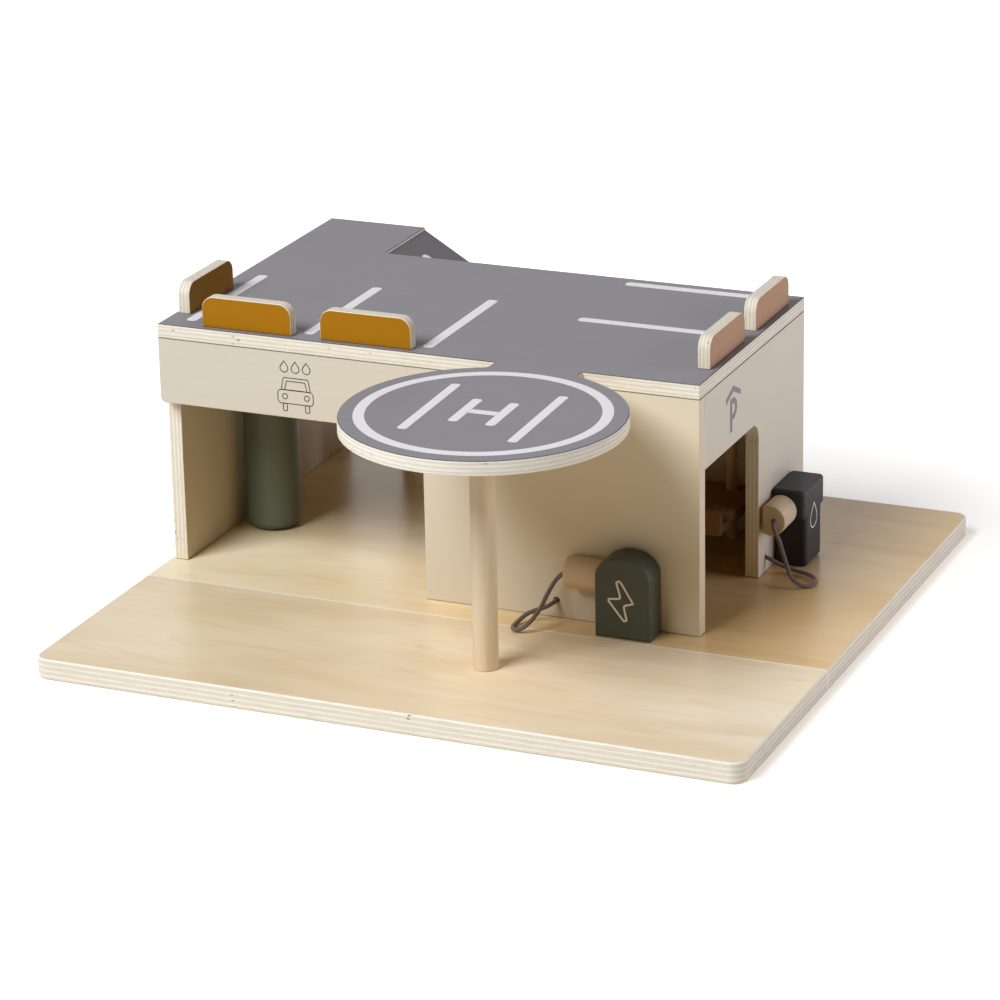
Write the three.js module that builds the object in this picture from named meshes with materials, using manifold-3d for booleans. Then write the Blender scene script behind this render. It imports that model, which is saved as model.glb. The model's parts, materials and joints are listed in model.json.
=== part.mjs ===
import * as THREE from "three";
import { mergeVertices } from "three/addons/utils/BufferGeometryUtils.js";
import Module from "manifold-3d";

const wasm = await Module();
wasm.setup();

// Lengths are in millimetres, with x to the right, y to the back and z up. Places are measured from a point
// on the base's top face, at its front edge and a little in from its left end. The last lines move the whole
// garage, so that the origin lies under the middle of its outer box.

// Base, two plywood boards side by side
const base_left = -2.8;
const base_width = 502.8;
const base_rear_margin = 10.8;
const base_thick = 15;
const base_corner = 10;
const base_ease = 1.5;
const seam_groove = 0.7;
const seam_y = 163.75;

// Walls, panels and deck
const wall_thick = 10;
const wall_high = 167.5;
const wall_ease = 0.5;
const house_left = 0.8;
const house_wide = 400.5;
const house_front = 189.2;
const house_deep = 210.3;
const front_panel_thick = 10.3;
const header_low = 120.2;
const header_end = 200.5;
const header_corner = 4;
const header_fillet = 3;
const door_top = 115.2;
const door_rear_wall = 93.8;
const door_corner = 12;
const deck_thick = 10;
const deck_ease = 0.6;
const deck_tail_right = 78.2;

// Round helicopter pad and the neck that joins it to the deck
const pad_side_room = 17;
const pad_out = 99.2;
const pad_radius = 94.5;
const neck_to_left = 35;
const neck_to_right = 28.7;
const neck_fillet = 5;
const post_radius = 8.5;
const post_off = 1.8;
const post_ease = 0.6;

// Ramp and its leg
const ramp_step = 2;
const ramp_run = 292;
const ramp_thick_upright = 9.3;
const ramp_tip = 1.5;
const ramp_gap = 0.5;
const ramp_wide = 71.2;
const leg_deep = 31.2;
const cleat_high = 26;
const cleat_run = 26;
const cleat_tip = 4;
const cleat_inset = 2;

// Kerbs along the deck's edges
const kerb_long = 68;
const kerb_high = 22;
const kerb_thick = 8.9;
const kerb_corner = 9;
const kerb_ease = 0.7;
const front_kerb_inset = 4.6;
const left_kerb_inset = 2.8;
const right_kerb_inset = 4.9;
const front_kerb_left_share = 0.16729;
const front_kerb_right_share = 0.39201;
const left_kerb_share = 0.29149;
const right_kerb_front_share = 0.31954;
const right_kerb_rear_share = 0.74655;

// Car wash roller
const roller_share = 0.47218;
const roller_side_room = 4.8;
const roller_radius = 19.8;
const roller_low = 0.8;
const roller_top_room = 2;
const roller_round = 6;
const roller_top_ease = 2;
const axle_radius = 4;
const axle_seat = 7;
const spacer_radius = 9;
const spacer_thick = 0.7;

// Car charger on the front panel
const charger_side_room = 27.3;
const charger_wide = 39.7;
const charger_deep = 22.9;
const charger_high = 58;
const charger_arch = 15;
const charger_ease = 2.4;

// Fuel pump on the right wall
const pump_rear_room = 25.6;
const pump_head_wide = 43.4;
const pump_body_wide = 32;
const pump_head_low = 36.2;
const pump_head_overlap = 8;
const pump_out = 24.3;
const pump_high = 58;
const pump_corner = 3.2;
const pump_ease = 2.8;

// Plug and nozzle, short dowels with one flat side and a pin at the end
const grip_radius = 11;
const grip_flat = 5.9;
const grip_long = 25;
const grip_ease = 1;
const pin_radius = 3.5;
const pin_long = 14;
const pin_ease = 0.6;
const socket_room = 1.2;
const plug_gap = 0.5;
const nozzle_gap = 2.5;
const plug_z = 37.3;
const nozzle_z = 43.7;

// Cords of diameter 3. Their points were chosen by eye, and are measured from the hole in the panel
// or wall that the cord goes into, at the base's top face.
const cord_radius = 1.5;
const cord_hole_radius = 2.3;
const cord_hole_deep = 4;
const plug_cord_off = 1.4;
const nozzle_cord_off = 2.7;
const panel_hole_off = 36.7;
const panel_hole_z = 12.6;
const wall_hole_off = 10.6;
const wall_hole_z = 11.4;
const cord_step = 2.6;
const charger_cord_points = [
  [15, -7.8, 37.3], [11, -7.8, 37], [4.8, -8, 32.6], [0.2, -9.6, 25.6],
  [-2.1, -14.1, 19.3], [-2.4, -21.3, 15.3], [-4, -28.8, 11], [-8.1, -34.6, 5.8],
  [-13.8, -36.2, 2.4], [-18.4, -33, 1.7], [-20, -26.8, 1.8], [-19.1, -21, 2.8],
  [-16.2, -16, 5.5], [-10.9, -12.5, 8.1], [-5.3, -9.8, 9.9], [-1.4, -5.8, 11.8],
  [0, -0.3, 12.6], [0, 3.5, 12.6],
];
const fuel_cord_points = [
  [11.1, -11.6, 43.7], [11.5, -15.7, 43.4], [12.6, -18.9, 41.6], [14.9, -21, 37.4],
  [17, -20.2, 32.5], [18.3, -18.9, 26.4], [20.1, -18.3, 19.9], [22.6, -19.4, 13.8],
  [25.5, -21.8, 8.9], [30.7, -23.8, 4.9], [37.1, -21.8, 2.3], [40.4, -16.1, 1.8],
  [39.6, -8.9, 2.1], [35.5, -3.2, 2.2], [29.4, 0.2, 2.5], [22.8, 1.9, 2.8],
  [16.3, 1.8, 4.4], [10.3, 0.3, 6.8], [5.2, -0.5, 9.4], [0.9, -0.3, 10.9],
  [-3.5, 0, 11.4],
];

// Car lift in the right bay
const lift_side_room = 16.2;
const lift_rear_room = 4.5;
const lift_wide = 94.1;
const lift_deep = 79.7;
const lift_low = 29.4;
const lift_plate_thick = 8;
const lift_ease = 0.6;
const rail_short = 16;
const rail_thick = 5;
const rail_high = 17;
const grip_rod_radius = 4.5;
const grip_rod_long = 41;
const grip_rod_out = 5.9;
const grip_rod_up = 13.6;
const guide_side_in = 19;
const guide_rear_in = 10;
const guide_radius = 4;

// Fasteners
const fit_gap = 0.3;
const dowel_radius = 3;
const dowel_ease = 0.5;
const base_dowel_radius = 4;
const base_dowel_long = 40;
const deck_dowel_down = 18;
const deck_dowel_up = 4.4;
const corner_dowel_in = 6;
const corner_dowel_back = 14;
const corner_dowel_down = 22.5;
const kerb_dowel_radius = 2;
const kerb_dowel_up = 9;
const kerb_dowel_down = 4.2;
const screw_radius = 1.8;
const screw_head_radius = 3.6;
const screw_head_deep = 2.4;
const screw_in_wall = 22;
const screw_in_block = 12;
const post_screw_in = 30;

// Steps of the round shapes
const round_steps = 6;
const pad_arc_steps = 16;
const ease_steps = 1;
const roller_round_steps = 4;
const roller_steps = 48;
const rod_steps = 24;
const small_steps = 16;
const cord_sides = 8;
const weld_gap = 0.001;

// Places that follow from the sizes

const floor = 0;
const house_right = house_left + house_wide;
const house_rear = house_front + house_deep;
const ramp_front = house_rear + ramp_gap;
const ramp_side_rear = ramp_front + ramp_wide;
const base_depth = ramp_side_rear + base_rear_margin;
const leg_front = ramp_side_rear - leg_deep;
const wall_inner_left = house_left + wall_thick;
const wall_inner_right = house_right - wall_thick;
const front_panel_rear = house_front + front_panel_thick;
const rear_panel_front = house_rear - wall_thick;
const door_rear = house_rear - door_rear_wall;
const deck_top = wall_high + deck_thick;
const ramp_start_z = deck_top - ramp_step;
const pad_x = house_right - pad_side_room - pad_radius;
const pad_y = house_front - pad_out;
const post_x = pad_x - post_off;
const neck_left = pad_x - neck_to_left;
const neck_right = pad_x + neck_to_right;
const front_kerb_y = house_front + front_kerb_inset;
const left_kerb_x = house_left + left_kerb_inset;
const right_kerb_x = house_right - right_kerb_inset - kerb_thick;
const front_kerb_left_x = kerb_start(house_left, house_wide, front_kerb_left_share);
const front_kerb_right_x = kerb_start(house_left, house_wide, front_kerb_right_share);
const left_kerb_y = kerb_start(house_front, house_deep, left_kerb_share);
const right_kerb_front_y = kerb_start(house_front, house_deep, right_kerb_front_share);
const right_kerb_rear_y = kerb_start(house_front, house_deep, right_kerb_rear_share);
const roller_x = wall_inner_left + roller_side_room + roller_radius;
const roller_y = house_front + house_deep * roller_share;
const charger_right = house_right - charger_side_room;
const charger_left = charger_right - charger_wide;
const charger_front = house_front - charger_deep;
const plug_y = house_front - grip_flat - plug_gap;
const panel_hole_x = charger_left - panel_hole_off;
const pump_rear = house_rear - pump_rear_room;
const pump_front = pump_rear - pump_head_wide;
const pump_body_front = (pump_front + pump_rear) / 2 - pump_body_wide / 2;
const nozzle_x = house_right + grip_flat + nozzle_gap;
const wall_hole_y = pump_front - wall_hole_off;
const lift_right = wall_inner_right - lift_side_room;
const lift_left = lift_right - lift_wide;
const lift_rear = rear_panel_front - lift_rear_room;
const lift_front = lift_rear - lift_deep;
const rail_left = lift_left + rail_short;
const grip_rod_right = lift_right + grip_rod_out;
const grip_rod_left = grip_rod_right - grip_rod_long;
const grip_rod_z = lift_low + grip_rod_up;

// Where a kerb starts whose middle lies at a share of a side of the deck
function kerb_start(side_start, side_long, share) {
  return side_start + side_long * share - kerb_long / 2;
}

const birch = { color: 0xdccdaf, roughness: 0.55, metalness: 0 };
const cream_paint = { color: 0xd7d0bc, roughness: 0.6, metalness: 0 };
const deck_grey = { color: 0x8a868b, roughness: 0.6, metalness: 0 };
const ramp_grey = { color: 0x6f6c70, roughness: 0.6, metalness: 0 };
const mustard = { color: 0xa8730f, roughness: 0.5, metalness: 0 };
const clay = { color: 0xa58269, roughness: 0.5, metalness: 0 };
const sage = { color: 0x5b6358, roughness: 0.5, metalness: 0 };
const olive = { color: 0x3e4030, roughness: 0.5, metalness: 0 };
const slate = { color: 0x3c3e46, roughness: 0.5, metalness: 0 };
const beech = { color: 0xc8b99b, roughness: 0.5, metalness: 0 };
const cord_brown = { color: 0x645555, roughness: 0.9, metalness: 0 };
const zinc = { color: 0xb9b7ae, roughness: 0.35, metalness: 0.9 };

// Solids and cuts

function to_solid(geometry) {
  const bare = geometry.clone();
  bare.deleteAttribute("normal");
  bare.deleteAttribute("uv");
  const merged = mergeVertices(bare, weld_gap);
  const corners = Array.from(merged.index.array);
  const kept = [];
  for (let at = 0; at < corners.length; at += 3) {
    const [a, b, c] = corners.slice(at, at + 3);
    if (a !== b && b !== c && c !== a) {
      kept.push(a, b, c);
    }
  }
  return new wasm.Manifold(new wasm.Mesh({
    numProp: 3,
    vertProperties: new Float32Array(merged.attributes.position.array),
    triVerts: new Uint32Array(kept),
  }));
}

function to_geometry(solid) {
  const mesh = solid.getMesh();
  const geometry = new THREE.BufferGeometry();
  geometry.setAttribute("position", new THREE.BufferAttribute(new Float32Array(mesh.vertProperties), 3));
  geometry.setIndex(new THREE.BufferAttribute(new Uint32Array(mesh.triVerts), 1));
  geometry.computeVertexNormals();
  return geometry;
}

function carve(body, cutters) {
  let solid = to_solid(body);
  for (const cutter of cutters) {
    solid = solid.subtract(to_solid(cutter));
  }
  return to_geometry(solid);
}

function join(bodies) {
  let solid = to_solid(bodies[0]);
  for (const body of bodies.slice(1)) {
    solid = solid.add(to_solid(body));
  }
  return to_geometry(solid);
}

// Shapes that lie along an axis

function lay(geometry, axis) {
  const x = new THREE.Vector3(1, 0, 0);
  const y = new THREE.Vector3(0, 1, 0);
  const z = new THREE.Vector3(0, 0, 1);
  const turns = { x: [y, z, x], y: [z, x, y], z: [x, y, z] };
  const turn = new THREE.Matrix4().makeBasis(...turns[axis]);
  return geometry.applyMatrix4(turn);
}

// A turned piece along an axis: profile is a list of radius and height, from one end to the other
function turned(profile, steps, axis) {
  const points = profile.map(([radius, height]) => new THREE.Vector2(radius, height));
  const geometry = new THREE.LatheGeometry(points, steps);
  geometry.rotateX(Math.PI / 2);
  return lay(geometry, axis);
}

function rod(radius, low, high, ease, steps, axis) {
  return turned([
    [0, low],
    [radius - ease, low],
    [radius, low + ease],
    [radius, high - ease],
    [radius - ease, high],
    [0, high],
  ], steps, axis);
}

// A plain drill along an axis, for cutting only
function drill(radius, low, high, steps, axis) {
  return turned([[0, low], [radius, low], [radius, high], [0, high]], steps, axis);
}

function at(geometry, x, y, z) {
  return geometry.translate(x, y, z);
}

// A board cut to an outline, with eased edges on both faces, standing on its lower face
function slab(outline, thick, ease, bevel_steps = ease_steps, arc_steps = round_steps) {
  const geometry = new THREE.ExtrudeGeometry(outline, {
    depth: thick - ease - ease,
    bevelThickness: ease,
    bevelSize: ease,
    bevelOffset: -ease,
    bevelSegments: bevel_steps,
    curveSegments: arc_steps,
  });
  return geometry.translate(0, 0, ease);
}

// An outline in x and z made into an upright board whose front face is at the given y
function facing_front(outline, thick, ease, front_y, bevel_steps) {
  const geometry = slab(outline, thick, ease, bevel_steps);
  geometry.rotateX(Math.PI / 2);
  return geometry.translate(0, front_y + thick, 0);
}

// An outline in y and z made into an upright board whose left face is at the given x
function facing_side(outline, thick, ease, left_x, bevel_steps) {
  const geometry = lay(slab(outline, thick, ease, bevel_steps), "x");
  return geometry.translate(left_x, 0, 0);
}

function rectangle(left, low, right, high) {
  const outline = new THREE.Shape();
  outline.moveTo(left, low);
  outline.lineTo(right, low);
  outline.lineTo(right, high);
  outline.lineTo(left, high);
  outline.closePath();
  return outline;
}

// A rectangle whose corners are round: radii for low left, low right, high right and high left
function rounded(left, low, right, high, radii) {
  const quarter = Math.PI / 2;
  const [low_left, low_right, high_right, high_left] = radii;
  const outline = new THREE.Shape();
  const corner = (x, y, radius, turn) => {
    if (radius > 0) {
      outline.absarc(x, y, radius, turn * quarter, (turn + 1) * quarter, false);
    } else {
      outline.lineTo(x, y);
    }
  };
  outline.moveTo(left + low_left, low);
  corner(right - low_right, low + low_right, low_right, 3);
  corner(right - high_right, high - high_right, high_right, 0);
  corner(left + high_left, high - high_left, high_left, 1);
  corner(left + low_left, low + low_left, low_left, 2);
  return outline;
}

function piece(name, finish, geometry) {
  const mesh = new THREE.Mesh(geometry, new THREE.MeshStandardMaterial(finish));
  mesh.name = name;
  return mesh;
}

// Like pieces, each with its own number
function numbered(name, finish, geometries) {
  return geometries.map((geometry, index) => piece(name + "_" + (index + 1), finish, geometry));
}

function group(name, members) {
  const set = new THREE.Group();
  set.name = name;
  set.add(...members);
  return set;
}

// Fasteners and the holes that take them

// Screws that rise from under the base into the walls, the panels and the leg
function wall_screw_places() {
  const left_middle = house_left + wall_thick / 2;
  const right_middle = house_right - wall_thick / 2;
  const front_middle = house_front + front_panel_thick / 2;
  const rear_middle = house_rear - wall_thick / 2;
  const left_shares = [0.15, 0.85];
  const panel_shares = [0.15, 0.72];
  const places = [];
  for (const share of left_shares) {
    places.push([left_middle, front_panel_rear + (ramp_side_rear - front_panel_rear) * share]);
  }
  places.push([right_middle, (door_rear + house_rear) / 2]);
  for (const share of panel_shares) {
    places.push([header_end + (house_right - header_end) * share, front_middle]);
    places.push([header_end + (wall_inner_right - header_end) * share, rear_middle]);
  }
  places.push([deck_tail_right - wall_thick / 2, (leg_front + ramp_side_rear) / 2]);
  return places;
}

// A countersunk screw along +z whose head lies at the low end
function screw(low, high) {
  return turned([
    [0, low],
    [screw_head_radius, low],
    [screw_radius, low + screw_head_deep],
    [screw_radius, high - screw_radius],
    [0, high],
  ], small_steps, "z");
}

// The hole for such a screw, a little wider all round
function screw_hole(low, high) {
  const wide = screw_head_radius + fit_gap;
  const narrow = screw_radius + fit_gap;
  return turned([
    [0, low - fit_gap - fit_gap],
    [wide, low - fit_gap - fit_gap],
    [wide, low],
    [narrow, low + screw_head_deep],
    [narrow, high + fit_gap],
    [0, high + fit_gap],
  ], small_steps, "z");
}

function wall_screw_holes() {
  const low = -base_thick + fit_gap;
  return wall_screw_places().map(([x, y]) => at(screw_hole(low, screw_in_wall), x, y, 0));
}

function wall_screws() {
  const low = -base_thick + fit_gap;
  const screws = wall_screw_places().map(([x, y]) => at(screw(low, screw_in_wall), x, y, 0));
  return numbered("wall_screw", zinc, screws);
}

function post_screw() {
  return piece("post_screw", zinc, at(screw(-base_thick + fit_gap, post_screw_in), post_x, pad_y, 0));
}

function post_screw_hole() {
  return at(screw_hole(-base_thick + fit_gap, post_screw_in), post_x, pad_y, 0);
}

// Dowels across the seam of the two base boards
function base_dowel_rods(radius, half_long, ease) {
  const along_shares = [0.15, 0.5, 0.85];
  return along_shares.map((share) => at(
    rod(radius, -half_long, half_long, ease, small_steps, "y"),
    base_left + base_width * share,
    seam_y,
    -base_thick / 2,
  ));
}

function base_dowel_holes() {
  return base_dowel_rods(base_dowel_radius + fit_gap, base_dowel_long / 2 + fit_gap, dowel_ease);
}

// Dowels that hold the deck on the walls
function deck_dowel_places() {
  const left_middle = house_left + wall_thick / 2;
  const right_middle = house_right - wall_thick / 2;
  const front_middle = house_front + front_panel_thick / 2;
  const rear_middle = house_rear - wall_thick / 2;
  const left_shares = [0.2, 0.85];
  const front_shares = [0.3, 0.85];
  const places = [];
  for (const share of left_shares) {
    places.push([left_middle, front_panel_rear + (ramp_side_rear - front_panel_rear) * share]);
  }
  for (const share of front_shares) {
    places.push([house_left + (house_right - house_left) * share, front_middle]);
  }
  places.push([right_middle, (house_front + house_rear) / 2]);
  places.push([(house_left + house_right) / 2, rear_middle]);
  return places;
}

function deck_dowel_rods(radius, extra) {
  const low = wall_high - deck_dowel_down - extra;
  const high = wall_high + deck_dowel_up + extra;
  return deck_dowel_places().map(([x, y]) => at(rod(radius, low, high, dowel_ease, small_steps, "z"), x, y, 0));
}

function deck_dowel_holes() {
  return deck_dowel_rods(dowel_radius + fit_gap, fit_gap);
}

// Dowels from the front panel into the front edges of the two side walls
function corner_dowel_rods(radius, extra) {
  const low = front_panel_rear - corner_dowel_in - extra;
  const high = front_panel_rear + corner_dowel_back + extra;
  const left_middle = house_left + wall_thick / 2;
  const right_middle = house_right - wall_thick / 2;
  const places = [
    [left_middle, wall_high - corner_dowel_down],
    [right_middle, wall_high - corner_dowel_down],
  ];
  return places.map(([x, z]) => at(rod(radius, low, high, dowel_ease, small_steps, "y"), x, 0, z));
}

function corner_dowel_holes() {
  return corner_dowel_rods(dowel_radius + fit_gap, fit_gap);
}

// Base

// Both boards in one, with eased edges all round
function base_slab() {
  const corners = [base_corner, base_corner, base_corner, base_corner];
  const outline = rounded(base_left, 0, base_left + base_width, base_depth, corners);
  return at(slab(outline, base_thick, base_ease), 0, 0, -base_thick);
}

// What is cut away from a board on one side of the seam, and the fine grooves along the seam
function seam_cuts(side) {
  const waste = new THREE.BoxGeometry(base_width * 2, base_depth * 2, base_thick * 4);
  const cuts = [at(waste, 0, seam_y + side * base_depth, 0)];
  for (const height of [0, -base_thick]) {
    const groove = new THREE.BoxGeometry(base_width * 2, seam_groove, seam_groove);
    cuts.push(at(groove.rotateX(Math.PI / 4), 0, seam_y, height));
  }
  return cuts;
}

function base_front_board() {
  const cutters = [...seam_cuts(1), ...base_dowel_holes(), post_screw_hole()];
  return piece("base_front_board", birch, carve(base_slab(), cutters));
}

function base_rear_board() {
  const cutters = [
    ...seam_cuts(-1),
    ...base_dowel_holes(),
    ...wall_screw_holes(),
    axle_hole(),
    ...guide_holes(fit_gap),
  ];
  return piece("base_rear_board", birch, carve(base_slab(), cutters));
}

function base_dowels() {
  return numbered("base_dowel", beech, base_dowel_rods(base_dowel_radius, base_dowel_long / 2, dowel_ease));
}

// House

function left_wall() {
  const outline = rectangle(front_panel_rear, floor, ramp_side_rear, wall_high);
  const board = facing_side(outline, wall_thick, wall_ease, house_left);
  const cutters = [...wall_screw_holes(), ...deck_dowel_holes(), ...corner_dowel_holes()];
  return piece("left_wall", cream_paint, carve(board, cutters));
}

function right_wall() {
  const outline = new THREE.Shape();
  outline.moveTo(door_rear, floor);
  outline.lineTo(house_rear, floor);
  outline.lineTo(house_rear, wall_high);
  outline.lineTo(front_panel_rear, wall_high);
  outline.lineTo(front_panel_rear, door_top);
  outline.absarc(door_rear - door_corner, door_top - door_corner, door_corner, Math.PI / 2, 0, true);
  outline.closePath();
  const board = facing_side(outline, wall_thick, wall_ease, wall_inner_right);
  const cutters = [
    ...wall_screw_holes(),
    ...deck_dowel_holes(),
    ...corner_dowel_holes(),
    ...pump_screw_holes(),
    wall_cord_hole(),
  ];
  return piece("right_wall", cream_paint, carve(board, cutters));
}

// An upside-down letter L: a full-height part on the right and a header over the left bay
function gate_outline(left, right) {
  const outline = new THREE.Shape();
  outline.moveTo(header_end, floor);
  outline.lineTo(right, floor);
  outline.lineTo(right, wall_high);
  outline.lineTo(left, wall_high);
  outline.absarc(left + header_corner, header_low + header_corner, header_corner, Math.PI, Math.PI * 1.5, false);
  outline.absarc(header_end - header_fillet, header_low - header_fillet, header_fillet, Math.PI / 2, 0, true);
  outline.closePath();
  return outline;
}

function front_panel() {
  const outline = gate_outline(house_left, house_right);
  const board = facing_front(outline, front_panel_thick, wall_ease, house_front);
  const cutters = [
    ...wall_screw_holes(),
    ...deck_dowel_holes(),
    ...corner_dowel_holes(),
    ...charger_screw_holes(),
    panel_cord_hole(),
  ];
  return piece("front_panel", cream_paint, carve(board, cutters));
}

function rear_panel() {
  const outline = gate_outline(wall_inner_left, wall_inner_right);
  const board = facing_front(outline, wall_thick, wall_ease, rear_panel_front);
  return piece("rear_panel", cream_paint, carve(board, [...wall_screw_holes(), ...deck_dowel_holes()]));
}

function deck_outline() {
  const pad_reach = pad_radius + neck_fillet;
  const left_fillet_x = neck_left - neck_fillet;
  const right_fillet_x = neck_right + neck_fillet;
  const left_rise = Math.sqrt(pad_reach ** 2 - (pad_x - left_fillet_x) ** 2);
  const right_rise = Math.sqrt(pad_reach ** 2 - (right_fillet_x - pad_x) ** 2);
  const left_turn = Math.atan2(left_rise, left_fillet_x - pad_x);
  const right_turn = Math.atan2(right_rise, right_fillet_x - pad_x);
  const outline = new THREE.Shape();
  outline.moveTo(house_left, house_front);
  outline.lineTo(neck_left, house_front);
  outline.absarc(left_fillet_x, pad_y + left_rise, neck_fillet, 0, left_turn - Math.PI, true);
  outline.absarc(pad_x, pad_y, pad_radius, left_turn, Math.PI * 1.25, false);
  outline.absarc(pad_x, pad_y, pad_radius, Math.PI * 1.25, Math.PI * 1.75, false);
  outline.absarc(pad_x, pad_y, pad_radius, Math.PI * 1.75, Math.PI * 2 + right_turn, false);
  outline.absarc(right_fillet_x, pad_y + right_rise, neck_fillet, right_turn + Math.PI, Math.PI, true);
  outline.lineTo(neck_right, house_front);
  outline.lineTo(house_right, house_front);
  outline.lineTo(house_right, house_rear);
  outline.lineTo(deck_tail_right, house_rear);
  outline.lineTo(deck_tail_right, ramp_side_rear);
  outline.lineTo(house_left, ramp_side_rear);
  outline.closePath();
  return outline;
}

function deck_board() {
  const board = at(slab(deck_outline(), deck_thick, deck_ease, ease_steps, pad_arc_steps), 0, 0, wall_high);
  const cutters = [
    ...deck_dowel_holes(),
    ...kerb_dowel_holes(),
    axle_hole(),
    ...guide_holes(fit_gap),
  ];
  return piece("deck_board", deck_grey, carve(board, cutters));
}

function deck_dowels() {
  return numbered("deck_dowel", beech, deck_dowel_rods(dowel_radius, 0));
}

function corner_dowels() {
  return numbered("corner_dowel", beech, corner_dowel_rods(dowel_radius, 0));
}

function helipad_post() {
  const post = at(rod(post_radius, floor, wall_high, post_ease, rod_steps, "z"), post_x, pad_y, 0);
  return piece("helipad_post", birch, carve(post, [post_screw_hole()]));
}

// Ramp

function ramp_board() {
  const fall = ramp_start_z / ramp_run;
  const end_x = deck_tail_right + ramp_run;
  const outline = new THREE.Shape();
  outline.moveTo(deck_tail_right, ramp_start_z - ramp_thick_upright);
  outline.lineTo(end_x - ramp_thick_upright / fall, floor);
  outline.lineTo(end_x - ramp_tip / fall, floor);
  outline.lineTo(end_x - ramp_tip / fall, ramp_tip);
  outline.lineTo(deck_tail_right, ramp_start_z);
  outline.closePath();
  const board = facing_front(outline, ramp_side_rear - ramp_front, wall_ease, ramp_front);
  return piece("ramp_board", ramp_grey, board);
}

function ramp_leg() {
  const outline = rectangle(leg_front, floor, ramp_side_rear, wall_high);
  const board = facing_side(outline, wall_thick, wall_ease, deck_tail_right - wall_thick);
  return piece("ramp_leg", cream_paint, carve(board, [...wall_screw_holes(), ...deck_dowel_holes()]));
}

// A block on the leg that carries the upper end of the ramp
function ramp_cleat() {
  const fall = ramp_start_z / ramp_run;
  const top = ramp_start_z - ramp_thick_upright;
  const outline = new THREE.Shape();
  outline.moveTo(deck_tail_right, top - cleat_high);
  outline.lineTo(deck_tail_right + cleat_run, top - cleat_run * fall - cleat_tip);
  outline.lineTo(deck_tail_right + cleat_run, top - cleat_run * fall);
  outline.lineTo(deck_tail_right, top);
  outline.closePath();
  const front = leg_front + cleat_inset;
  const block = facing_front(outline, ramp_side_rear - cleat_inset - front, wall_ease, front);
  return piece("ramp_cleat", birch, block);
}

// Kerbs

function kerb_outline(start) {
  return rounded(start, deck_top, start + kerb_long, deck_top + kerb_high, [0, 0, kerb_corner, kerb_corner]);
}

function kerb_along_x(name, finish, left_x, front_y) {
  const block = facing_front(kerb_outline(left_x), kerb_thick, kerb_ease, front_y);
  return piece(name, finish, carve(block, kerb_dowel_holes()));
}

function kerb_along_y(name, finish, left_x, front_y) {
  const block = facing_side(kerb_outline(front_y), kerb_thick, kerb_ease, left_x);
  return piece(name, finish, carve(block, kerb_dowel_holes()));
}

function kerb_dowel_places() {
  const half = kerb_thick / 2;
  const middle = kerb_long / 2;
  return [
    [left_kerb_x + half, left_kerb_y + middle],
    [front_kerb_left_x + middle, front_kerb_y + half],
    [front_kerb_right_x + middle, front_kerb_y + half],
    [right_kerb_x + half, right_kerb_front_y + middle],
    [right_kerb_x + half, right_kerb_rear_y + middle],
  ];
}

function kerb_dowel_rods(radius, extra) {
  const low = deck_top - kerb_dowel_down - extra;
  const high = deck_top + kerb_dowel_up + extra;
  return kerb_dowel_places().map(([x, y]) => at(rod(radius, low, high, dowel_ease, small_steps, "z"), x, y, 0));
}

function kerb_dowel_holes() {
  return kerb_dowel_rods(kerb_dowel_radius + fit_gap, fit_gap);
}

function kerb_dowels() {
  return numbered("kerb_dowel", beech, kerb_dowel_rods(kerb_dowel_radius, 0));
}

// Car wash

function wash_roller() {
  const bore = axle_radius + fit_gap;
  const top = wall_high - roller_top_room;
  const profile = [[bore, roller_low]];
  for (let step = 0; step <= roller_round_steps; step += 1) {
    const turn = (Math.PI / 2) * (step / roller_round_steps);
    profile.push([
      roller_radius - roller_round + roller_round * Math.sin(turn),
      roller_low + roller_round - roller_round * Math.cos(turn),
    ]);
  }
  profile.push([roller_radius, top - roller_top_ease]);
  profile.push([roller_radius - roller_top_ease, top]);
  profile.push([bore, top]);
  profile.push([bore, roller_low]);
  return piece("wash_roller", sage, at(turned(profile, roller_steps, "z"), roller_x, roller_y, 0));
}

function wash_axle() {
  const low = -axle_seat;
  const high = wall_high + axle_seat;
  return piece("wash_axle", beech, at(rod(axle_radius, low, high, dowel_ease, rod_steps, "z"), roller_x, roller_y, 0));
}

function axle_hole() {
  const low = -axle_seat - fit_gap;
  const high = wall_high + axle_seat + fit_gap;
  return at(drill(axle_radius + fit_gap, low, high, rod_steps, "z"), roller_x, roller_y, 0);
}

function wash_spacer() {
  const bore = axle_radius + fit_gap;
  const ring = turned([
    [bore, floor],
    [spacer_radius, floor],
    [spacer_radius, spacer_thick],
    [bore, spacer_thick],
    [bore, floor],
  ], rod_steps, "z");
  return piece("wash_spacer", beech, at(ring, roller_x, roller_y, 0));
}

// Car charger and fuel pump

// A short dowel along +z with a flat side towards +x, a pin at its far end and a cord hole at its near end
function grip_body(cord_off) {
  const half_flat = Math.acos(grip_flat / grip_radius);
  const outline = new THREE.Shape();
  outline.absarc(0, 0, grip_radius, half_flat, Math.PI, false);
  outline.absarc(0, 0, grip_radius, Math.PI, Math.PI * 2 - half_flat, false);
  outline.closePath();
  const pin = rod(pin_radius, grip_long - pin_ease, grip_long + pin_long, pin_ease, rod_steps, "z");
  const hole = at(drill(cord_hole_radius, -cord_hole_deep, cord_hole_deep, small_steps, "z"), cord_off, 0, 0);
  return carve(join([slab(outline, grip_long, grip_ease), pin]), [hole]);
}

function charger_plug() {
  const body = lay(grip_body(-plug_cord_off), "x");
  return piece("charger_plug", beech, at(body, charger_left - fit_gap - grip_long, plug_y, plug_z));
}

function fuel_nozzle() {
  const turned_body = grip_body(-nozzle_cord_off).rotateZ(-Math.PI / 2);
  const body = lay(turned_body, "y");
  return piece("fuel_nozzle", beech, at(body, nozzle_x, pump_front - fit_gap - grip_long, nozzle_z));
}

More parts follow.
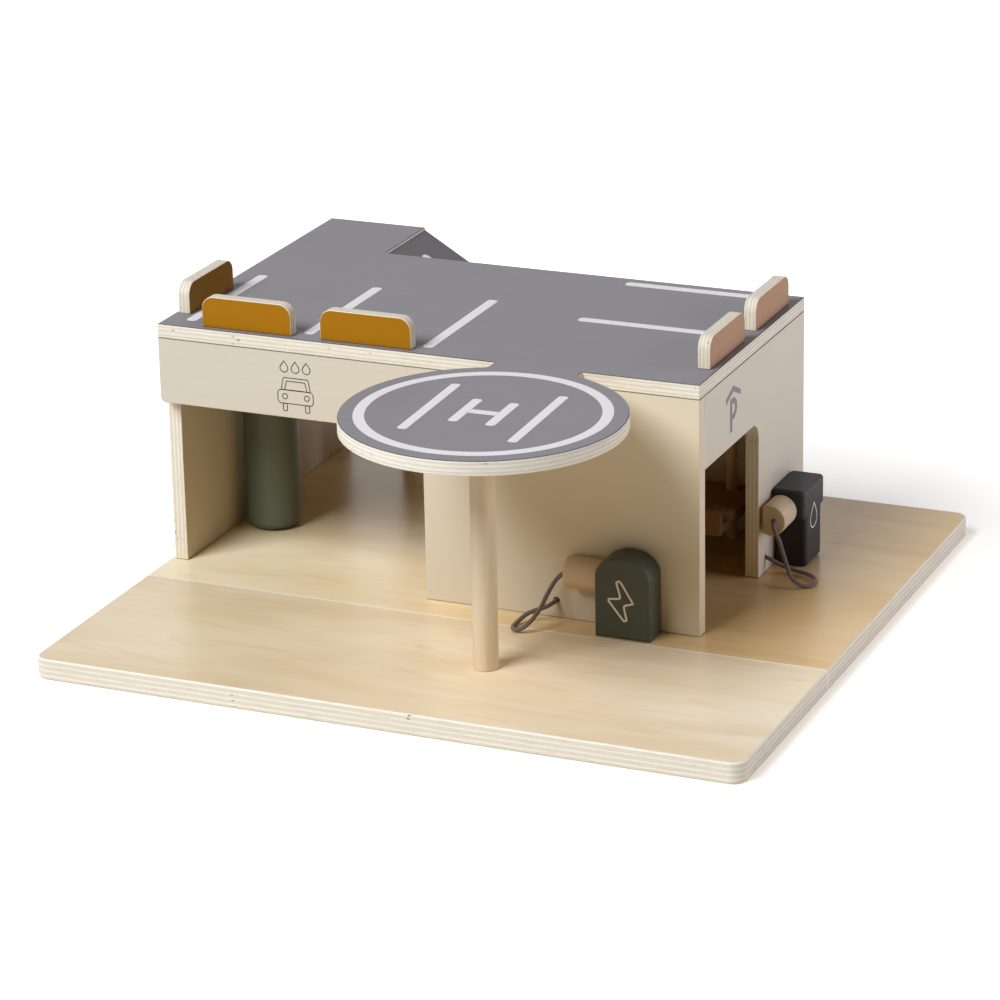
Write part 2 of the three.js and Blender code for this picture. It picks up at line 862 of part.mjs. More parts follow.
function charger_screw_places() {
  const middle = (charger_left + charger_right) / 2;
  const height_shares = [0.28, 0.72];
  return height_shares.map((share) => [middle, charger_high * share]);
}

function charger_screws_along(shape) {
  const high = charger_front + charger_deep - screw_in_block;
  return charger_screw_places().map(([x, z]) => {
    const body = shape(-front_panel_rear + fit_gap, -high).rotateX(Math.PI / 2);
    return at(body, x, 0, z);
  });
}

function charger_screw_holes() {
  return charger_screws_along(screw_hole);
}

function charger_block() {
  const middle = (charger_left + charger_right) / 2;
  const half = charger_wide / 2;
  const arch_foot = charger_high - charger_arch;
  const outline = new THREE.Shape();
  outline.moveTo(charger_left, floor);
  outline.lineTo(charger_right, floor);
  outline.absellipse(middle, arch_foot, half, charger_arch, 0, Math.PI / 2, false, 0);
  outline.absellipse(middle, arch_foot, half, charger_arch, Math.PI / 2, Math.PI, false, 0);
  outline.closePath();
  const block = facing_front(outline, charger_deep, charger_ease, charger_front, ease_steps + 1);
  const low = charger_left - socket_room;
  const socket = drill(pin_radius + fit_gap, low, charger_left + pin_long + socket_room, rod_steps, "x");
  return piece("charger_block", olive, carve(block, [at(socket, 0, plug_y, plug_z), ...charger_screw_holes()]));
}

function pump_screw_places() {
  const middle = (pump_front + pump_rear) / 2 + screw_head_radius + screw_head_radius;
  const height_shares = [0.22, 0.7];
  return height_shares.map((share) => [middle, pump_high * share]);
}

function pump_screws_along(shape) {
  return pump_screw_places().map(([y, z]) => {
    const body = lay(shape(wall_inner_right + fit_gap, house_right + screw_in_block), "x");
    return at(body, 0, y, z);
  });
}

function pump_screw_holes() {
  return pump_screws_along(screw_hole);
}

// One part of the pump: a block against the wall, rounded all over
function pump_part(front, wide, low, high) {
  const corners = [pump_corner, pump_corner, pump_corner, pump_corner];
  const outline = rounded(front, low, front + wide, high, corners);
  return facing_side(outline, pump_out, pump_ease, house_right, ease_steps + 1);
}

// A narrow body with a wider head
function pump_block() {
  const body = pump_part(pump_body_front, pump_body_wide, floor, pump_head_low + pump_head_overlap);
  const head = pump_part(pump_front, pump_head_wide, pump_head_low, pump_high);
  const low = pump_front - socket_room;
  const socket = drill(pin_radius + fit_gap, low, pump_front + pin_long + socket_room, rod_steps, "y");
  const cutters = [at(socket, nozzle_x, 0, nozzle_z), ...pump_screw_holes()];
  return piece("pump_block", slate, carve(join([body, head]), cutters));
}

function charger_screws() {
  return numbered("charger_screw", zinc, charger_screws_along(screw));
}

function pump_screws() {
  return numbered("pump_screw", zinc, pump_screws_along(screw));
}

// Cords

function panel_cord_hole() {
  const low = house_front - cord_hole_deep;
  const high = house_front + cord_hole_deep;
  return at(drill(cord_hole_radius, low, high, small_steps, "y"), panel_hole_x, 0, panel_hole_z);
}

function wall_cord_hole() {
  const low = house_right - cord_hole_deep;
  const high = house_right + cord_hole_deep;
  return at(drill(cord_hole_radius, low, high, small_steps, "x"), 0, wall_hole_y, wall_hole_z);
}

// A cord through points that are measured from the foot of its hole
function cord(name, points, hole_x, hole_y) {
  const foot = new THREE.Vector3(hole_x, hole_y, floor);
  const path = new THREE.CatmullRomCurve3(points.map((point) => new THREE.Vector3(...point).add(foot)));
  const section = new THREE.Shape();
  for (let side = 0; side < cord_sides; side += 1) {
    const turn = (Math.PI * 2 * side) / cord_sides;
    const x = cord_radius * Math.cos(turn);
    const y = cord_radius * Math.sin(turn);
    if (side === 0) {
      section.moveTo(x, y);
    } else {
      section.lineTo(x, y);
    }
  }
  section.closePath();
  const steps = Math.round(path.getLength() / cord_step);
  const tube = new THREE.ExtrudeGeometry(section, { steps, extrudePath: path, bevelEnabled: false });
  return piece(name, cord_brown, tube);
}

// Lift

function guide_places() {
  const guide_y = lift_rear - guide_rear_in;
  return [[lift_left + guide_side_in, guide_y], [lift_right - guide_side_in, guide_y]];
}

function guide_rods(radius, extra) {
  const low = -axle_seat - extra;
  const high = wall_high + axle_seat + extra;
  return guide_places().map(([x, y]) => at(rod(radius, low, high, dowel_ease, rod_steps, "z"), x, y, 0));
}

function guide_holes(gap) {
  return guide_rods(guide_radius + gap, gap);
}

function lift_platform() {
  const outline = rectangle(lift_left, lift_front, lift_right, lift_rear);
  const plate = at(slab(outline, lift_plate_thick, lift_ease), 0, 0, lift_low);
  return piece("lift_platform", birch, carve(plate, guide_holes(fit_gap)));
}

function lift_front_rail() {
  const outline = rectangle(rail_left, lift_low, lift_right, lift_low + rail_high);
  const rail = facing_front(outline, rail_thick, lift_ease, lift_front - rail_thick);
  return piece("lift_front_rail", birch, rail);
}

function lift_grip() {
  const bar = rod(grip_rod_radius, grip_rod_left, grip_rod_right, post_ease, rod_steps, "x");
  return piece("lift_grip", beech, at(bar, 0, lift_front + grip_rod_radius, grip_rod_z));
}

function lift_guides() {
  const names = ["lift_guide_left", "lift_guide_right"];
  const rods = guide_rods(guide_radius, 0);
  return names.map((name, index) => piece(name, beech, rods[index]));
}

// The garage, moved so that the origin lies under the middle of its outer box.
// The pad reaches a little past the front of the base.

const garage = group("garage", [
  group("base", [base_front_board(), base_rear_board(), ...base_dowels()]),
  group("house", [
    left_wall(),
    front_panel(),
    right_wall(),
    rear_panel(),
    deck_board(),
    helipad_post(),
    ...wall_screws(),
    post_screw(),
    ...deck_dowels(),
    ...corner_dowels(),
  ]),
  group("ramp", [ramp_board(), ramp_leg(), ramp_cleat()]),
  group("kerbs", [
    kerb_along_y("kerb_left", mustard, left_kerb_x, left_kerb_y),
    kerb_along_x("kerb_front_left", mustard, front_kerb_left_x, front_kerb_y),
    kerb_along_x("kerb_front_right", mustard, front_kerb_right_x, front_kerb_y),
    kerb_along_y("kerb_right_front", clay, right_kerb_x, right_kerb_front_y),
    kerb_along_y("kerb_right_rear", clay, right_kerb_x, right_kerb_rear_y),
    ...kerb_dowels(),
  ]),
  group("car_wash", [wash_roller(), wash_axle(), wash_spacer()]),
  group("charger", [
    charger_block(),
    ...charger_screws(),
    charger_plug(),
    cord("charger_cord", charger_cord_points, panel_hole_x, house_front),
  ]),
  group("fuel", [
    pump_block(),
    ...pump_screws(),
    fuel_nozzle(),
    cord("fuel_cord", fuel_cord_points, house_right, wall_hole_y),
  ]),
  group("lift", [lift_platform(), lift_front_rail(), lift_grip(), ...lift_guides()]),
]);
const middle_x = base_left + base_width / 2;
const middle_y = (pad_y - pad_radius + base_depth) / 2;
garage.position.set(-middle_x, -middle_y, base_thick);

export default garage;
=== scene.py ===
import json
import math

import bmesh
import bpy
from mathutils import Matrix, Vector

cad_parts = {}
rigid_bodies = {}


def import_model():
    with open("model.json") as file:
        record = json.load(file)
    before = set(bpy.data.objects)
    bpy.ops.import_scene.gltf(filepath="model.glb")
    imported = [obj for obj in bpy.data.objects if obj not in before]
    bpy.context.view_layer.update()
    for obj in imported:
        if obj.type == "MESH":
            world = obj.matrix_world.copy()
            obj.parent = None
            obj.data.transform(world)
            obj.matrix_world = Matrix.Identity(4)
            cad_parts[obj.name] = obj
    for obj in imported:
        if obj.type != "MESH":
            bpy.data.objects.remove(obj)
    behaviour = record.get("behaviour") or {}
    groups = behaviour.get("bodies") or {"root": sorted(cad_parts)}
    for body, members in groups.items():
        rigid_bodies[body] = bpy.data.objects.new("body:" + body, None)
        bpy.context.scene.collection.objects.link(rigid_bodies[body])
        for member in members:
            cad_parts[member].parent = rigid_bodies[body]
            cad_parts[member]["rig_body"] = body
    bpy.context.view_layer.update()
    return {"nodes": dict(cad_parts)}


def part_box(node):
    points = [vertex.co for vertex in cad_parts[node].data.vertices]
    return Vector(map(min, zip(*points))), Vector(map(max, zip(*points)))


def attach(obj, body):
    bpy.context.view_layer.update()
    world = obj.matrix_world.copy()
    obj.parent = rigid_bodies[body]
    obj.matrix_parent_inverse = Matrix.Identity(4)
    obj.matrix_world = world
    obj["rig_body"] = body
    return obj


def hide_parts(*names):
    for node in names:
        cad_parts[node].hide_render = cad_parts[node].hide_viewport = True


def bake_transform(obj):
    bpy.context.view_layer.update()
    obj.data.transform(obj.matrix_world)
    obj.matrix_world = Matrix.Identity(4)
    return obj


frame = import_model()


def spot(x, y, z):
    """A place in millimetres, from the front left of the base's top face, as metres in the frame."""
    return Vector(((x - 248.6) / 1000, (y - 238.75) / 1000, (z + 15) / 1000))


# The camera stands to the right of the garage and a little above it, far away with a long lens.
# Its place and turn were fitted to the edges of the boards in the photograph.
camera_place = spot(1275.34, -2150.83, 1005.46)
camera_yaw = 0.4104
camera_pitch = 0.3480
camera_roll = -0.0198
camera_data = bpy.data.cameras.new("camera")
camera_data.sensor_width = 36
camera_data.lens = 144.425
camera_data.clip_start = 0.1
camera_data.clip_end = 20
camera = bpy.data.objects.new("camera", camera_data)
bpy.context.scene.collection.objects.link(camera)
ahead = Vector((
    -math.sin(camera_yaw) * math.cos(camera_pitch),
    math.cos(camera_yaw) * math.cos(camera_pitch),
    -math.sin(camera_pitch),
))
level = ahead.cross(Vector((0, 0, 1))).normalized()
upright = level.cross(ahead)
right = math.cos(camera_roll) * level + math.sin(camera_roll) * upright
up = math.cos(camera_roll) * upright - math.sin(camera_roll) * level
turn = Matrix((right, up, -ahead)).transposed().to_4x4()
camera.matrix_world = Matrix.Translation(camera_place) @ turn
bpy.context.scene.camera = camera
bpy.context.scene.view_settings.view_transform = "Standard"


# Two limp cords of brown braided cotton, 3 mm thick, one 115 mm long and the other 122 mm.
# Each leaves its wooden plug, falls, lies on the base in one loop and goes into a hole in the house.
def colour(red, green, blue):
    """A colour as it looks on screen, 0 to 255, as the linear value that a shader takes."""
    parts = [value / 255 for value in (red, green, blue)]
    return tuple(p / 12.92 if p <= 0.04045 else ((p + 0.055) / 1.055) ** 2.4 for p in parts) + (1.0,)


def new_material(name):
    material = bpy.data.materials.new(name)
    material.use_nodes = True
    tree = material.node_tree
    shader = tree.nodes["Principled BSDF"]
    return material, tree, shader


def add_node(tree, kind, inputs=None, **settings):
    """A node of a kind, its settings, and its inputs as values or as sockets to link from."""
    node = tree.nodes.new(kind)
    for key, value in settings.items():
        setattr(node, key, value)
    for key, value in (inputs or {}).items():
        if isinstance(value, bpy.types.NodeSocket):
            tree.links.new(value, node.inputs[key])
        else:
            node.inputs[key].default_value = value
    return node


def calculate(tree, operation, *values):
    node = add_node(tree, "ShaderNodeMath", dict(enumerate(values)), operation=operation)
    return node.outputs[0]


def between(tree, share, low, high):
    """Low where share is 0, high where it is 1, for colours."""
    node = add_node(tree, "ShaderNodeMix", {0: share, 6: low, 7: high}, data_type="RGBA")
    return node.outputs[2]


def step_up(tree, value, low, high):
    """0 below low, 1 above high, smooth between them."""
    node = add_node(
        tree, "ShaderNodeMapRange",
        {"Value": value, "From Min": low, "From Max": high},
        interpolation_type="SMOOTHSTEP",
    )
    return node.outputs[0]


def noise(tree, place, scale, detail, distortion=0.0):
    node = add_node(
        tree, "ShaderNodeTexNoise",
        {"Vector": place, "Scale": scale, "Detail": detail, "Distortion": distortion},
    )
    return node.outputs[0]


def set_relief(tree, shader, height, strength, distance):
    relief = {"Height": height, "Strength": strength, "Distance": distance}
    bump = add_node(tree, "ShaderNodeBump", relief)
    tree.links.new(bump.outputs[0], shader.inputs["Normal"])


def smooth_route(points, count):
    """A natural cubic spline through the points, measured along their chords, as count even steps."""
    runs = [(b - a).length for a, b in zip(points, points[1:])]
    steep = [(b - a) / run for a, b, run in zip(points, points[1:], runs)]
    bends = [Vector((0, 0, 0)) for point in points]
    pivots = [1.0] * len(points)
    for i in range(1, len(points) - 1):
        carried = runs[i - 1] / pivots[i - 1] if i > 1 else 0.0
        pivots[i] = 2 * (runs[i - 1] + runs[i]) - carried * runs[i - 1]
        bends[i] = 6 * (steep[i] - steep[i - 1]) - carried * bends[i - 1]
    for i in range(len(points) - 2, 0, -1):
        bends[i] = (bends[i] - runs[i] * bends[i + 1]) / pivots[i]
    route = []
    whole = sum(runs)
    stretch = 0
    passed = 0.0
    for step in range(count):
        goal = whole * step / count
        while goal > passed + runs[stretch]:
            passed += runs[stretch]
            stretch += 1
        run = runs[stretch]
        after = goal - passed
        before = run - after
        a, b = points[stretch], points[stretch + 1]
        straight = (a * before + b * after) / run
        curved = bends[stretch] * (before ** 3 / run - run * before)
        curved += bends[stretch + 1] * (after ** 3 / run - run * after)
        route.append(straight + curved / 6)
    return route + [points[-1]]


def cord_tube(name, route, radius, sides):
    """A tube along a route, with the turn around it and the millimetres along it as its map."""
    mesh = bmesh.new()
    layer = mesh.loops.layers.uv.new("UVMap")
    side_way = Vector((0, 0, 1))
    rings = []
    for index, point in enumerate(route):
        along = (route[min(index + 1, len(route) - 1)] - route[max(index - 1, 0)]).normalized()
        side_way = (side_way - along * side_way.dot(along)).normalized()
        other_way = along.cross(side_way)
        ring = []
        for side in range(sides):
            angle = 2 * math.pi * side / sides
            outward = math.cos(angle) * side_way + math.sin(angle) * other_way
            ring.append(mesh.verts.new(point + radius * outward))
        rings.append(ring)
    run = 0.0
    for index in range(len(rings) - 1):
        step = (route[index + 1] - route[index]).length
        here, ahead_ring = rings[index], rings[index + 1]
        for side in range(sides):
            after = (side + 1) % sides
            face = mesh.faces.new((here[side], here[after], ahead_ring[after], ahead_ring[side]))
            face.smooth = True
            corners = ((side, run), (side + 1, run), (side + 1, run + step), (side, run + step))
            for loop, (turned, length) in zip(face.loops, corners):
                loop[layer].uv = (turned / sides, length * 1000)
        run += step
    mesh.faces.new(list(reversed(rings[0])))
    mesh.faces.new(rings[-1])
    bmesh.ops.recalc_face_normals(mesh, faces=mesh.faces)
    data = bpy.data.meshes.new(name)
    mesh.to_mesh(data)
    mesh.free()
    piece = bpy.data.objects.new(name, data)
    bpy.context.scene.collection.objects.link(piece)
    return piece


def braid_material():
    """Two sets of strands that cross at a slant, with painted shade in the gaps between them."""
    material, tree, shader = new_material("braided_cotton")
    place = add_node(tree, "ShaderNodeTexCoord")
    parts = add_node(tree, "ShaderNodeSeparateXYZ", {0: place.outputs["UV"]})
    around = calculate(tree, "MULTIPLY", parts.outputs[0], strands_around)
    along = calculate(tree, "MULTIPLY", parts.outputs[1], strands_per_mm)
    strands = []
    for slant in ("ADD", "SUBTRACT"):
        turns = calculate(tree, slant, around, along)
        strands.append(calculate(tree, "SINE", calculate(tree, "MULTIPLY", turns, 2 * math.pi)))
    share = step_up(tree, calculate(tree, "MAXIMUM", *strands), -0.2, 0.9)
    fuzz = noise(tree, place.outputs["Object"], 2600.0, 3.0)
    base = between(tree, share, colour(70, 58, 57), colour(122, 106, 105))
    worn = between(tree, step_up(tree, fuzz, 0.45, 0.75), base, colour(146, 130, 127))
    tree.links.new(worn, shader.inputs["Base Color"])
    height = calculate(tree, "MULTIPLY_ADD", fuzz, 0.35, share)
    set_relief(tree, shader, height, 0.5, 0.0003)
    shader.inputs["Roughness"].default_value = 0.9
    shader.inputs["Sheen Weight"].default_value = 0.25
    shader.inputs["Sheen Roughness"].default_value = 0.5
    return material


charger_cord_points = [
    (312.6, 181.4, 37.3), (308.6, 181.4, 37), (302.4, 181.2, 32.6), (297.8, 179.6, 25.6),
    (295.5, 175.1, 19.3), (295.2, 167.9, 15.3), (293.6, 160.4, 11), (289.5, 154.6, 5.8),
    (283.8, 153, 2.4), (279.2, 156.2, 1.7), (277.6, 162.4, 1.8), (278.5, 168.2, 2.8),
    (281.4, 173.2, 5.5), (286.7, 176.7, 8.1), (292.3, 179.4, 9.9), (296.2, 183.4, 11.8),
    (297.6, 188.9, 12.6), (297.6, 192.7, 12.6),
]
fuel_cord_points = [
    (412.4, 308.3, 43.7), (412.8, 304.2, 43.4), (413.9, 301, 41.6), (416.2, 298.9, 37.4),
    (418.3, 299.7, 32.5), (419.6, 301, 26.4), (421.4, 301.6, 19.9), (423.9, 300.5, 13.8),
    (426.8, 298.1, 8.9), (432, 296.1, 4.9), (438.4, 298.1, 2.3), (441.7, 303.8, 1.8),
    (440.9, 311, 2.1), (436.8, 316.7, 2.2), (430.7, 320.1, 2.5), (424.1, 321.8, 2.8),
    (417.6, 321.7, 4.4), (411.6, 320.2, 6.8), (406.5, 319.4, 9.4), (402.2, 319.6, 10.9),
    (397.8, 319.9, 11.4),
]
cord_diameter = 0.003
cord_steps, cord_sides = 150, 20
strands_around, strands_per_mm = 6.0, 0.62
braid = braid_material()
for name, points, body, low, high in (
    ("charger_cord_braid", charger_cord_points, "charger_plug", spot(300, 181, 14), spot(300, 181, 33)),
    ("fuel_cord_braid", fuel_cord_points, "fuel_nozzle", spot(418, 300, 14), spot(418, 300, 37)),
):
    route = smooth_route([spot(*point) for point in points], cord_steps)
    cord = cord_tube(name, route, cord_diameter / 2, cord_sides)
    cord.data.materials.append(braid)
    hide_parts(name.replace("_braid", ""))
    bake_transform(cord)


# A plain white floor under a large soft lamp high at the front left, with a small weak one low at the right.
# Floor and room look white to the camera and in gloss, and the floor glows less near the garage, where it
# keeps the shadow. It lies a tenth of a millimetre low, and is clear from below to show the undersides.
def deselect_all():
    if bpy.context.object and bpy.context.object.mode != "OBJECT":
        bpy.ops.object.mode_set(mode="OBJECT")
    bpy.ops.object.select_all(action="DESELECT")


floor_drop = 0.0001
glow_near, glow_gain = 0.47, 0.5
glow_start, glow_full = 0.36, 0.75
deselect_all()
bpy.ops.mesh.primitive_plane_add(size=14, location=(0, 0, -floor_drop))
floor = bpy.context.object
floor.name = "floor"
material, tree, shader = new_material("white_floor")
shader.inputs["Base Color"].default_value = (0.8, 0.78, 0.74, 1)
shader.inputs["Roughness"].default_value = 0.9
shader.inputs["Specular IOR Level"].default_value = 0.0
rays = add_node(tree, "ShaderNodeLightPath")
seen = calculate(tree, "MAXIMUM", rays.outputs["Is Camera Ray"], rays.outputs["Is Glossy Ray"])
floor_place = add_node(tree, "ShaderNodeTexCoord").outputs["Object"]
away = add_node(tree, "ShaderNodeVectorMath", {0: floor_place}, operation="LENGTH")
far = step_up(tree, away.outputs["Value"], glow_start, glow_full)
strength = calculate(tree, "MULTIPLY", seen, calculate(tree, "MULTIPLY_ADD", far, glow_gain, glow_near))
glow = add_node(tree, "ShaderNodeEmission", {"Strength": strength})
both = add_node(tree, "ShaderNodeAddShader", {0: shader.outputs[0], 1: glow.outputs[0]})
clear = add_node(tree, "ShaderNodeBsdfTransparent")
under = add_node(tree, "ShaderNodeNewGeometry").outputs["Backfacing"]
surface = add_node(tree, "ShaderNodeMixShader", {0: under, 1: both.outputs[0], 2: clear.outputs[0]})
tree.links.new(surface.outputs[0], tree.nodes["Material Output"].inputs["Surface"])
floor.data.materials.append(material)

world = bpy.data.worlds.new("white_room")
bpy.context.scene.world = world
world.use_nodes = True
tree = world.node_tree
back = tree.nodes["Background"]
rays = add_node(tree, "ShaderNodeLightPath")
seen = calculate(tree, "MAXIMUM", rays.outputs["Is Camera Ray"], rays.outputs["Is Transmission Ray"])
seen = calculate(tree, "MAXIMUM", seen, rays.outputs["Is Glossy Ray"])
room_fill, room_white = (0.034, 0.026, 0.014, 1), (1, 1, 1, 1)
tree.links.new(between(tree, seen, room_fill, room_white), back.inputs["Color"])
back.inputs["Strength"].default_value = 1.0


def add_lamp(name, place, size, power, tint):
    """A square soft lamp that faces the garage."""
    data = bpy.data.lights.new(name, "AREA")
    data.shape = "SQUARE"
    data.size = size
    data.energy = power
    data.color = tint
    lamp = bpy.data.objects.new(name, data)
    bpy.context.scene.collection.objects.link(lamp)
    aim = (Vector((0, 0, 0.1)) - Vector(place)).to_track_quat("-Z", "Y")
    lamp.matrix_world = Matrix.Translation(place) @ aim.to_matrix().to_4x4()


add_lamp("key_lamp", (-1.65, -3.225, 3.8), size=2.6, power=292, tint=(0.985, 1.0, 1.045))
add_lamp("side_lamp", (1.4, 0.4, 0.5), size=0.8, power=7.8, tint=(1.0, 0.955, 1.06))


# The base is two birch plywood boards side by side, nine layers thick, with round outer corners.
# Dowels hold them together, their edges are eased, and a clear lacquer covers the pale veneer.
def object_place(tree):
    return add_node(tree, "ShaderNodeTexCoord").outputs["Object"]


def stretched(tree, vector, scale, shift=(0.0, 0.0, 0.0)):
    node = add_node(tree, "ShaderNodeMapping", {"Vector": vector, "Location": shift, "Scale": scale})
    return node.outputs[0]


def new_group(name, inputs, outputs):
    """An empty shader node group with named inputs and outputs."""
    group = bpy.data.node_groups.new(name, "ShaderNodeTree")
    for label, kind, value in inputs:
        socket = group.interface.new_socket(label, in_out="INPUT", socket_type=kind)
        socket.default_value = value
    for label, kind in outputs:
        group.interface.new_socket(label, in_out="OUTPUT", socket_type=kind)
    start = group.nodes.new("NodeGroupInput")
    end = group.nodes.new("NodeGroupOutput")
    return group, start, end


def fill_group(tree, group, inputs):
    return add_node(tree, "ShaderNodeGroup", inputs, node_tree=group)


def blend_numbers(tree, share, low, high):
    """Low where share is 0, high where it is 1, for plain numbers."""
    return add_node(tree, "ShaderNodeMix", {0: share, 2: low, 3: high}, data_type="FLOAT").outputs[0]


def multiply_colours(tree, one, other):
    inputs = {0: 1.0, 6: one, 7: other}
    node = add_node(tree, "ShaderNodeMix", inputs, data_type="RGBA", blend_type="MULTIPLY")
    return node.outputs[2]


def build_ply_edge():
    """The sanded edge of plywood, by its depth below the face in millimetres. Lines are the layers that
    differ from the ground tone: First is the depth of the first one, Period the way to the next."""
    group, start, end = new_group(
        "ply_edge",
        [
            ("Depth", "NodeSocketFloat", 0.0),
            ("First", "NodeSocketFloat", 0.7),
            ("Period", "NodeSocketFloat", 3.7),
            ("Half Line", "NodeSocketFloat", 0.7),
            ("Ground", "NodeSocketColor", (0.5, 0.5, 0.5, 1)),
            ("Line", "NodeSocketColor", (0.5, 0.5, 0.5, 1)),
            ("Place", "NodeSocketVector", (0, 0, 0)),
        ],
        [("Color", "NodeSocketColor"), ("Height", "NodeSocketFloat")],
    )
    place = start.outputs["Place"]
    wander = calculate(group, "MULTIPLY_ADD", noise(group, place, 24.0, 2.0), 0.9, -0.45)
    past_first = calculate(group, "SUBTRACT", start.outputs["Depth"], start.outputs["First"])
    half_period = calculate(group, "MULTIPLY", start.outputs["Period"], 0.5)
    to_line = calculate(group, "PINGPONG", calculate(group, "ADD", past_first, wander), half_period)
    off_line = calculate(group, "SUBTRACT", to_line, start.outputs["Half Line"])
    ground = step_up(group, off_line, -0.16, 0.16)
    layered = between(group, ground, start.outputs["Line"], start.outputs["Ground"])
    fibres = noise(group, stretched(group, place, (70.0, 70.0, 1100.0)), 1.0, 3.0)
    pores = noise(group, place, 1700.0, 2.0)
    fleck = calculate(group, "MULTIPLY", step_up(group, fibres, 0.5, 0.75), 0.35)
    flecked = between(group, fleck, layered, colour(203, 188, 158))
    dot = calculate(group, "MULTIPLY", step_up(group, pores, 0.56, 0.72), ground)
    dotted = between(group, calculate(group, "MULTIPLY", dot, 0.4), flecked, colour(192, 172, 136))
    border = calculate(group, "ABSOLUTE", off_line)
    glue = calculate(group, "SUBTRACT", 1.0, step_up(group, border, 0.03, 0.2))
    glued = between(group, calculate(group, "MULTIPLY", glue, 0.22), dotted, colour(186, 164, 126))
    rare = step_up(group, noise(group, place, 17.0, 1.0), 0.5, 0.6)
    knot_place = stretched(group, place, (230.0, 230.0, 640.0), (3.1, 1.7, 0.4))
    knot = calculate(group, "MULTIPLY", rare, step_up(group, noise(group, knot_place, 1.0, 1.0), 0.7, 0.75))
    spotted = between(group, calculate(group, "MULTIPLY", knot, 0.85), glued, colour(150, 110, 70))
    group.links.new(spotted, end.inputs["Color"])
    height = calculate(group, "MULTIPLY_ADD", fibres, 0.5, calculate(group, "MULTIPLY", glue, -0.6))
    group.links.new(height, end.inputs["Height"])
    return group


def build_veneer():
    """The face of birch veneer: long soft clouds, a few flames and fine fibres that run along x."""
    group, start, end = new_group(
        "veneer",
        [("Place", "NodeSocketVector", (0, 0, 0)), ("Seed", "NodeSocketVector", (0, 0, 0))],
        [("Color", "NodeSocketColor"), ("Height", "NodeSocketFloat")],
    )
    moved = {0: start.outputs["Place"], 1: start.outputs["Seed"]}
    place = add_node(group, "ShaderNodeVectorMath", moved, operation="ADD").outputs[0]
    clouds = noise(group, stretched(group, place, (3.0, 13.0, 13.0)), 1.0, 4.0, 1.4)
    flames = noise(group, stretched(group, place, (7.0, 42.0, 42.0)), 1.0, 5.0, 2.2)
    fibres = noise(group, stretched(group, place, (35.0, 900.0, 900.0)), 1.0, 3.0)
    cloud = step_up(group, clouds, 0.32, 0.68)
    soft = between(group, cloud, colour(234, 220, 190), colour(226, 206, 168))
    flame = calculate(group, "MULTIPLY", step_up(group, flames, 0.5, 0.78), 0.45)
    flamed = between(group, flame, soft, colour(213, 185, 138))
    fine = calculate(group, "MULTIPLY", step_up(group, fibres, 0.45, 0.75), 0.25)
    group.links.new(between(group, fine, flamed, colour(243, 234, 212)), end.inputs["Color"])
    group.links.new(fibres, end.inputs["Height"])
    return group


def build_paint():
    """Thin paint on a wooden face: faint fibres show through and the tone wanders a little."""
    group, start, end = new_group(
        "thin_paint",
        [
            ("Color", "NodeSocketColor", (0.5, 0.5, 0.5, 1)),
            ("Place", "NodeSocketVector", (0, 0, 0)),
            ("Grain", "NodeSocketFloat", 0.1),
        ],
        [("Color", "NodeSocketColor"), ("Height", "NodeSocketFloat")],
    )
    place = start.outputs["Place"]
    fibres = noise(group, stretched(group, place, (40.0, 620.0, 620.0)), 1.0, 3.0)
    clouds = noise(group, place, 14.0, 3.0)
    speck = noise(group, place, 1900.0, 1.0)
    cloudy = calculate(group, "MULTIPLY_ADD", clouds, 0.4, -0.5)
    tone = calculate(group, "MULTIPLY_ADD", fibres, 0.6, cloudy)
    value = calculate(group, "MULTIPLY_ADD", tone, start.outputs["Grain"], 1.0)
    tint = add_node(group, "ShaderNodeHueSaturation", {"Value": value, "Color": start.outputs["Color"]})
    group.links.new(tint.outputs[0], end.inputs["Color"])
    group.links.new(calculate(group, "MULTIPLY_ADD", speck, 0.5, fibres), end.inputs["Height"])
    return group


ply_edge = build_ply_edge()
veneer = build_veneer()
thin_paint = build_paint()


def turned_place(tree, place, grain):
    """The place with its axes changed round, so that a pattern along x runs along the grain's axis."""
    parts = add_node(tree, "ShaderNodeSeparateXYZ", {0: place})
    order = {"x": (0, 1, 2), "y": (1, 0, 2), "z": (2, 0, 1)}[grain]
    mixed = add_node(tree, "ShaderNodeCombineXYZ", {i: parts.outputs[n] for i, n in enumerate(order)})
    return mixed.outputs[0]


# The first pale line, just under the face, runs along the eased edge and is partly a pale layer and partly a
# painted highlight there; the others are pale layers of the ply
thick_layers = {
    "First": 0.9, "Period": 3.68, "Half Line": 0.7,
    "Ground": colour(228, 221, 203), "Line": colour(244, 239, 226),
}
# Light that bounces between the boards is dimmer and warmer than their own tone, as in the photograph
bounce_tint = (0.84, 0.67, 0.3, 1.0)
rim_dark = colour(84, 78, 80)
# A pale line along the seam of the base's two boards is a painted highlight on their eased edges
seam_highlight = colour(250, 245, 230)


